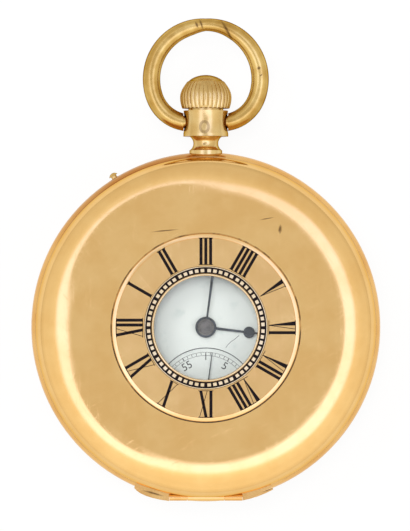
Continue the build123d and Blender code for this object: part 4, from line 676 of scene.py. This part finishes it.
# %% Hinge cheeks
cheek_foot = 8.7
cheek_height = 1.9
left_lip = [(-5.25, -24.74), (-6.5, -24.56), (-7.6, -24.3), (-8.5, -24.02), (-9.3, -23.65),
            (-9.85, -23.26), (-10.2, -22.85), (-9.9, -22.2), (-7.6, -23.1), (-5.25, -23.75)]
right_cheek = [(5.25, -24.66), (6.3, -24.42), (7.4, -24.08), (8.6, -23.6), (9.6, -23.1),
               (9.3, -22.45), (7.4, -23.15), (5.25, -23.75)]
work = bmesh.new()
for outline in (left_lip, right_cheek):
    thicken(work, work.faces.new([work.verts.new((x, y, cheek_foot)) for x, y in outline]),
            cheek_height)
bmesh.ops.recalc_face_normals(work, faces=work.faces[:])
finish_piece(work, "hinge_cheeks", "case", band_gold, 30)

# %% [markdown]
# ## The crown
#
# The crown is turned to an onion shape and fluted with a round-nosed cutter, 32 times round, so
# that each rib is a soft swelling between two sharp valleys. The mesh is spun from a half section
# and then every point is moved towards the axis by the depth of the valley at its angle. The ribs
# fade out below the smooth domed cap.

# %% Crown
crown_foot = 31.25
foot_rise = 0.02
bore_radius, bore_depth = 2.62, 2.85
rib_count, rib_steps = 32, 12
rib_foot, rib_top, rib_fade = 0.05, 3.9, 0.5
valley_depth = 0.13
skirt = ((foot_rise, 3.34), (0.1, 3.42), (0.4, 3.51), (0.8, 3.61), (1.2, 3.67), (1.6, 3.69),
         (2.0, 3.66), (2.4, 3.55), (2.8, 3.38), (3.2, 3.14), (3.55, 2.89), (3.8, 2.71),
         (rib_top, 2.6), (3.96, 2.44))
cap = ((4.12, 2.28), (4.3, 2.02), (4.5, 1.64), (4.66, 1.2), (4.77, 0.72), (4.82, 0.3), (4.83, 0))
work = bmesh.new()
pen = work.verts.new((bore_radius, 0, foot_rise))
for rise, radius in skirt + cap + ((bore_depth, 0), (bore_depth, bore_radius), (foot_rise, bore_radius)):
    pen = line_to(work, pen, radius, rise)
lathe(work, rib_count * rib_steps)
for corner in work.verts:
    radius = math.hypot(corner.co.x, corner.co.y)
    if radius > bore_radius + 0.03 and rib_foot < corner.co.z < rib_top - 0.05:
        turn = math.atan2(corner.co.y, corner.co.x) / math.tau * rib_count
        valley = (2 * abs(turn - round(turn))) ** 2.2
        fade = min(1, (rib_top - corner.co.z) / rib_fade)
        share = 1 - valley_depth * valley * fade / radius
        corner.co.x *= share
        corner.co.y *= share
upright = Matrix.Translation((0, crown_foot, middle)) @ Matrix.Rotation(-math.pi / 2, 4, "X")
bmesh.ops.transform(work, matrix=upright, verts=work.verts[:])
crown_piece = finish_piece(work, "crown_fluted", "crown", crown_gold, 50)
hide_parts("crown")

# %% [markdown]
# ## The bow
#
# The bow is a bar bent to a ring. Long wear on a chain has cut its inner side at the top to an
# uneven notch, deeper to the right of the middle than to the left. The bar is made as a row of
# cross sections along the ring, each with its own inner half thickness. The ends are cut flat
# beside the pendant, and a pin on each end turns in a socket.

# %% Bow
bow_centre = (0, 35.5)
bow_pivot = (3.32, 29.35)
bow_radius = 7.78
bow_end = 3.2
end_slope = math.radians(12)
bar_half = 1.25
wear_depth, wear_reach = 0.35, 90
ridge_height, ridge_turn = 0.2, 15
dip_depth, dip_turn = 0.06, 30
bend_steps, ring_steps, loop_steps = 12, 60, 40


def bow_halves(turn):
    """Outer and inner half thickness of the bar at a turn from the top of the ring, in degrees."""
    worn = max(0, 1 - abs(turn) / wear_reach)
    outer = bar_half - wear_depth * worn ** 2
    if turn < 0:
        inner = outer + ridge_height * min(1, -turn / ridge_turn)
    else:
        inner = outer - dip_depth * math.sin(math.pi * min(1, turn / dip_turn))
    return outer, min(inner, bar_half)


def bow_path():
    """Centres and turns along the bar, from its left end over the top to the right end."""
    rise = bow_centre[1] - bow_pivot[1]
    reach = bow_pivot[0] * math.sin(end_slope) + rise * math.cos(end_slope)
    bend = (bow_radius ** 2 - bow_pivot[0] ** 2 - rise ** 2) / (2 * (bow_radius - reach))
    across = bow_pivot[0] - bend * math.sin(end_slope)
    up = rise - bend * math.cos(end_slope)
    bend_end = math.atan2(across, up)
    half = []
    for step in range(bend_steps):
        turn = end_slope + (bend_end - end_slope) * step / bend_steps
        half.append((across + bend * math.sin(turn), bow_centre[1] - up - bend * math.cos(turn), turn))
    for step in range(ring_steps + 1):
        turn = bend_end + (math.pi - bend_end) * step / ring_steps
        half.append((bow_radius * math.sin(turn), bow_centre[1] - bow_radius * math.cos(turn), turn))
    return [(-x, y, -turn) for x, y, turn in half] + [(x, y, turn) for x, y, turn in reversed(half[:-1])]


work = bmesh.new()
rows = []
stations = bow_path()
for place, (x, y, turn) in enumerate(stations):
    outer, inner = bow_halves(math.copysign(180 - abs(math.degrees(turn)), x))
    row = []
    for step in range(loop_steps):
        angle = math.tau * step / loop_steps
        out = (outer if math.cos(angle) > 0 else inner) * math.cos(angle)
        corner = Vector((x + out * math.sin(turn), y - out * math.cos(turn),
                         middle + outer * math.sin(angle)))
        if place in (0, len(stations) - 1):
            cut = math.copysign(bow_end, x)
            corner.y -= (corner.x - cut) * math.copysign(math.tan(end_slope), x)
            corner.x = cut
        row.append(work.verts.new(corner))
    rows.append(row)
for first, second in zip(rows, rows[1:]):
    for step in range(loop_steps):
        after = (step + 1) % loop_steps
        work.faces.new((first[step], second[step], second[after], first[after]))
for row in (rows[0], rows[-1]):
    work.faces.new(row)
bmesh.ops.recalc_face_normals(work, faces=work.faces[:])
pin_radius, pin_length, pin_middle = 0.9, 0.78, 2.95
for side in (-1, 1):
    pin = bmesh.ops.create_cone(work, cap_ends=True, segments=32, radius1=pin_radius,
                                radius2=pin_radius, depth=pin_length)["verts"]
    place = Matrix.Translation((side * pin_middle, bow_pivot[1], middle))
    bmesh.ops.transform(work, matrix=place @ Matrix.Rotation(math.pi / 2, 4, "Y"), verts=pin)
bow_piece = finish_piece(work, "bow_worn", "bow", bow_gold, 40)
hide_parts("bow")

# %% [markdown]
# ## The dial
#
# The dial is a copper disc under white enamel, fired several times. The white is cool, with a trace
# of green. A hairline crack near the seconds circle is the usual scar of a watch that was once
# dropped; it is a thin grey line. The seconds circle is a separate sunk plate.

# %% Dial enamel
dial_white = enamel("white_dial_enamel", "#E5EBE4", "#D8E1DA", 0.2, 2.5, gloss=0.3)
dress(dial_white, "dial")
seconds_place = (0.0, -10.2)
dial_level = 10.206
sunk_level = 10.086
ink = enamel("painted_dial_black", "#161413", "#2C2926", 0.35, 0.5, gloss=0.2)
grey_ink = enamel("painted_dial_grey", "#4F5453", "#6A6F6D", 0.4, 0.5, gloss=0.2)

# %% Numerals and minute track of the dial
minute_step = 6
dial_numeral_foot, dial_numeral_top = 13.7, 18.2
dial_bar, dial_gap = 0.42, 0.3
hour_tick, minute_tick, tick_edge = (18.75, 0.22), (18.95, 0.1), 19.55
work = bmesh.new()
for place, text in enumerate(numerals):
    if text != "VI":
        draw_numeral(work, text, place * hour_step, dial_numeral_foot, dial_numeral_top, dial_level,
                     dial_bar, dial_gap, hair_width)
for minute in range(60):
    inner, width = hour_tick if minute % 5 == 0 else minute_tick
    mark(work, inner, tick_edge, width, minute * minute_step, dial_level)
for track_line in ((18.72, 18.80), (19.5, 19.58)):
    washer(work, *track_line, dial_level)
face_up(work)
finish_piece(work, "dial_print", "case", ink)

# %% [markdown]
# The seconds circle has its own track of sixty ticks, a longer one each five seconds, and small
# plain figures. The figures are made as text, which is then turned into a mesh and brought to its
# place, because the finished object has to stay at the origin.

# %% Seconds circle
long_tick, short_tick, top_tick_foot, second_edge = (6.16, 0.12), (6.24, 0.07), 5.5, 6.58
circle_steps = 160
work = bmesh.new()
for second in range(60):
    inner, width = long_tick if second % 5 == 0 else short_tick
    if second == 0:
        inner = top_tick_foot
    mark(work, inner, second_edge, width, second * minute_step, sunk_level, seconds_place)
for track_line in ((6.14, 6.19), (6.60, 6.65)):
    washer(work, *track_line, sunk_level, circle_steps, seconds_place)
face_up(work)
finish_piece(work, "seconds_track", "case", ink)

sunk_edge = (7.18, 7.3)
work = bmesh.new()
washer(work, *sunk_edge, dial_level, circle_steps, seconds_place)
face_up(work)
finish_piece(work, "seconds_circle_edge", "case", grey_ink)

crack = [(4.75, -1.15), (4.1, -1.75), (3.6, -2.05), (3.15, -2.5), (2.85, -2.9)]
crack_half = 0.035
work = bmesh.new()
for first, second in zip(crack, crack[1:]):
    start, end = Vector((*first, dial_level)), Vector((*second, dial_level))
    aside = Vector((0, 0, 1)).cross(end - start).normalized() * crack_half
    corners = (start - aside, end - aside, end + aside, start + aside)
    work.faces.new([work.verts.new(place) for place in corners])
face_up(work)
finish_piece(work, "hairline_crack", "case", grey_ink)


def figure(work, text, size, angle, distance, level, centre):
    """A number as a flat mesh, standing at an angle from the top round a centre."""
    letters = bpy.data.curves.new("figure", "FONT")
    letters.body = text
    letters.size = size
    letters.align_x = "CENTER"
    letters.align_y = "CENTER"
    letters.resolution_u = 3
    holder = bpy.data.objects.new("figure", letters)
    flat = bpy.data.meshes.new_from_object(holder)
    turn = Matrix.Rotation(-math.radians(angle), 4, "Z")
    flat.transform(Matrix.Translation((*centre, level)) @ turn @ Matrix.Translation((0, distance, 0)))
    work.from_mesh(flat)
    bpy.data.objects.remove(holder)
    bpy.data.curves.remove(letters)
    bpy.data.meshes.remove(flat)


figure_size, figure_radius = 1.55, 5.35
work = bmesh.new()
for second in range(5, 60, 5):
    figure(work, str(second), figure_size, second * minute_step, figure_radius, sunk_level, seconds_place)
face_up(work)
finish_piece(work, "seconds_figures", "case", ink)

# %% [markdown]
# ## Hands
#
# The hands are thin steel, ground flat and dark with age. Seen straight from above, they mirror the
# quiet part of the room and look a soft grey.


# %% Steel and brass of the movement
def ground_metal(name, colour, shade, roughness, centre=None, line=0.12, depth=0.004):
    """Metal with fine grinding: rings round a centre, or straight lines where there is none."""
    metal, tree = blank_material(name)
    if centre is None:
        spot = object_millimetres(tree, stretch=(0.05, 1, 1))
        lines = add(tree, "TexNoise", {"Vector": spot, "Scale": 1 / line, "Detail": 2.0})
    else:
        spot = object_millimetres(tree, (*centre, 0))
        flat = add(tree, "VectorMath", {0: spot, 1: (1, 1, 0)}, operation="MULTIPLY")
        radius = add(tree, "VectorMath", {0: flat.outputs["Vector"]}, operation="LENGTH")
        lines = add(tree, "TexNoise", {"W": radius.outputs["Value"], "Scale": 1 / line, "Detail": 2.0},
                    noise_dimensions="1D")
    cut = lines.outputs["Fac"]
    spots = object_millimetres(tree)
    cloud = add(tree, "TexNoise", {"Vector": spots, "Scale": 1 / 1.6, "Detail": 3.0})
    tint = stops(add(tree, "ValToRGB", {"Fac": cloud.outputs["Fac"]}), (0.35, shade), (0.6, colour))
    dull = remap(tree, cut, 0.3, 0.7, roughness * 0.75, roughness * 1.35)
    shader = add(tree, "BsdfPrincipled", {"Base Color": tint, "Metallic": 1.0, "Roughness": dull,
                                          "Normal": relief(tree, cut, depth)})
    add(tree, "OutputMaterial", {"Surface": shader.outputs["BSDF"]})
    return metal


hand_steel = ground_metal("aged_hand_steel", "#5A605F", "#474C4B", 0.34)
boss_steel = ground_metal("turned_boss_steel", "#8E897B", "#6A665B", 0.34, (0, 0), 0.16)
dress(hand_steel, "hour_hand", "seconds_hand")

hand_level = 10.9
hand_thickness = 0.13
minute_turn = Matrix.Rotation(-math.radians(7.4), 4, "Z")
shape = [(0.13, 0), (0.15, 4.0), (0.2, 8.0), (0.28, 11.2), (0.62, 12.5), (0.3, 13.4), (0.1, 15.2),
         (0.02, 17.58)]
work = bmesh.new()
outline = [work.verts.new((x, y, hand_level)) for x, y in shape]
outline += [work.verts.new((-x, y, hand_level)) for x, y in reversed(shape)]
thicken(work, work.faces.new(outline), hand_thickness)
bmesh.ops.transform(work, matrix=minute_turn, verts=work.verts[:])
bmesh.ops.recalc_face_normals(work, faces=work.faces[:])
finish_piece(work, "minute_blade", "centre_wheel", hand_steel, 30)

boss_bore = 0.78
work = bmesh.new()
pen = work.verts.new((boss_bore, 0, hand_level))
for radius, level in ((1.16, hand_level), (1.19, 10.94), (1.19, 11.08), (1.14, 11.14), (0, 11.18),
                      (0, 11.06), (boss_bore, 11.06), (boss_bore, hand_level)):
    pen = line_to(work, pen, radius, level)
lathe(work, 96)
minute_boss = finish_piece(work, "minute_boss", "centre_wheel", boss_steel, 30)
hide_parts("minute_hand")
print("hands dressed")

# %% [markdown]
# The movement behind the dial has two families of metal. Plates and bridges are brass, matted with
# a fine grit and fire-gilt, so they glow without mirroring. Wheels are brass or steel, turned and
# ground in rings round their own axes, so each needs its own centre. Levers and flat springs keep
# their straight grinding. The hairspring, the mainspring and the screws are steel that was heated
# until a film of oxide turned it blue.


# %% Frosted gilding
def frosted_gilt(name, colour, shade, grit=0.09):
    """Brass matted with grit and gilt: a dense fine bump and a broad, warm highlight."""
    metal, tree = blank_material(name)
    spot = object_millimetres(tree)
    frost = add(tree, "TexVoronoi", {"Vector": spot, "Scale": 1 / grit}).outputs["Distance"]
    cloud = add(tree, "TexNoise", {"Vector": spot, "Scale": 1 / 3.0, "Detail": 3.0}).outputs["Fac"]
    tint = stops(add(tree, "ValToRGB", {"Fac": cloud}), (0.35, shade), (0.65, colour))
    dull = remap(tree, cloud, 0.0, 1.0, 0.42, 0.56)
    shader = add(tree, "BsdfPrincipled", {"Base Color": tint, "Metallic": 1.0, "Roughness": dull,
                                          "Normal": relief(tree, frost, 0.012)})
    add(tree, "OutputMaterial", {"Surface": shader.outputs["BSDF"]})
    return metal


gilt = frosted_gilt("frosted_gilt_brass", "#E8C27C", "#D6AB62")
dress(gilt, "main_plate", "barrel_bridge", "train_bridge", "balance_cock", "pallet_cock")
print("plates gilt")

# %% Wheels, springs and screws
barrel_place = (-8.184, 4.725)
third_place = (4.775, -5.977)
escape_place = (-4.334, -7.184)
balance_place = (-10.628, -11.006)
minute_place = (3.342, 2.340)
crown_wheel_place = (0.0, 13.98)
turned_brass = {"barrel_drum": barrel_place, "barrel_cover": barrel_place, "centre_wheel": (0, 0),
                "third_wheel": third_place, "fourth_wheel": seconds_place,
                "balance_wheel": balance_place, "minute_wheel": minute_place, "hour_wheel": (0, 0)}
for node, place in turned_brass.items():
    dress(ground_metal("turned_brass_" + node, "#E2BE73", "#CFA75B", 0.3, place), node)
turned_steel = {"ratchet_wheel": barrel_place, "barrel_arbor": barrel_place,
                "crown_gear": crown_wheel_place, "crown_wheel": crown_wheel_place,
                "escape_wheel": escape_place, "balance_staff": balance_place,
                "roller": balance_place, "regulator": balance_place, "cannon_pinion": (0, 0)}
for node, place in turned_steel.items():
    dress(ground_metal("turned_steel_" + node, "#C6C8CB", "#AEB0B4", 0.26, place), node)
straight_steel = ground_metal("straight_ground_steel", "#C2C4C7", "#A9ABB0", 0.28)
dress(straight_steel, "click", "click_spring", "pallet_fork", "setting_lever", "push_sleeve",
      "winding_stem", "winding_pinion", "clutch_wheel", "lock_spring", "fly_spring", "hairspring_stud")
blued_steel = ground_metal("heat_blued_steel", "#2C4A8C", "#22386E", 0.2, None, 0.2, 0.001)
dress(blued_steel, "bridge_screws", "hairspring", "mainspring")
print(len(turned_brass) + len(turned_steel), "turned pieces")

# %% [markdown]
# ## Glass and ruby
#
# Watch glass is thin and clear, so what counts is its reflection. A mix of a clear shader and a
# mirror, weighted by the Fresnel effect, lets lamps through and keeps the dial bright. Only the
# face where light enters mirrors, because light that leaves a flat pane goes on at the angle at
# which it came. Ruby bearings and pallet stones are clear red glass to the eye, and are drawn as a
# deep, glossy red.

# %% Watch glass and ruby
watch_glass, tree = blank_material("clear_watch_glass")
smear = add(tree, "TexNoise", {"Vector": object_millimetres(tree), "Scale": 1 / 3.0, "Detail": 4.0})
polish = remap(tree, smear.outputs["Fac"], 0.0, 1.0, 0.01, 0.06)
clear = add(tree, "BsdfTransparent", {"Color": linear("#FDFDFD")})
mirror = add(tree, "BsdfGlossy", {"Color": (1, 1, 1, 1), "Roughness": polish})
edge_on = add(tree, "Fresnel", {"IOR": 1.5}).outputs["Fac"]
leaving = add(tree, "NewGeometry").outputs["Backfacing"]
mirrored = calculate(tree, "MULTIPLY", edge_on, calculate(tree, "SUBTRACT", 1.0, leaving))
pane = add(tree, "MixShader", {0: mirrored, 1: clear.outputs["BSDF"], 2: mirror.outputs["BSDF"]})
add(tree, "OutputMaterial", {"Surface": pane.outputs["Shader"]})
dress(watch_glass, "lid_glass", "dial_glass")
ruby = enamel("synthetic_ruby", "#A3123A", "#7E0C2B", 0.08, 0.4, coat=0.5)
dress(ruby, "jewels", "pallet_stones")
print("glass and ruby ready")
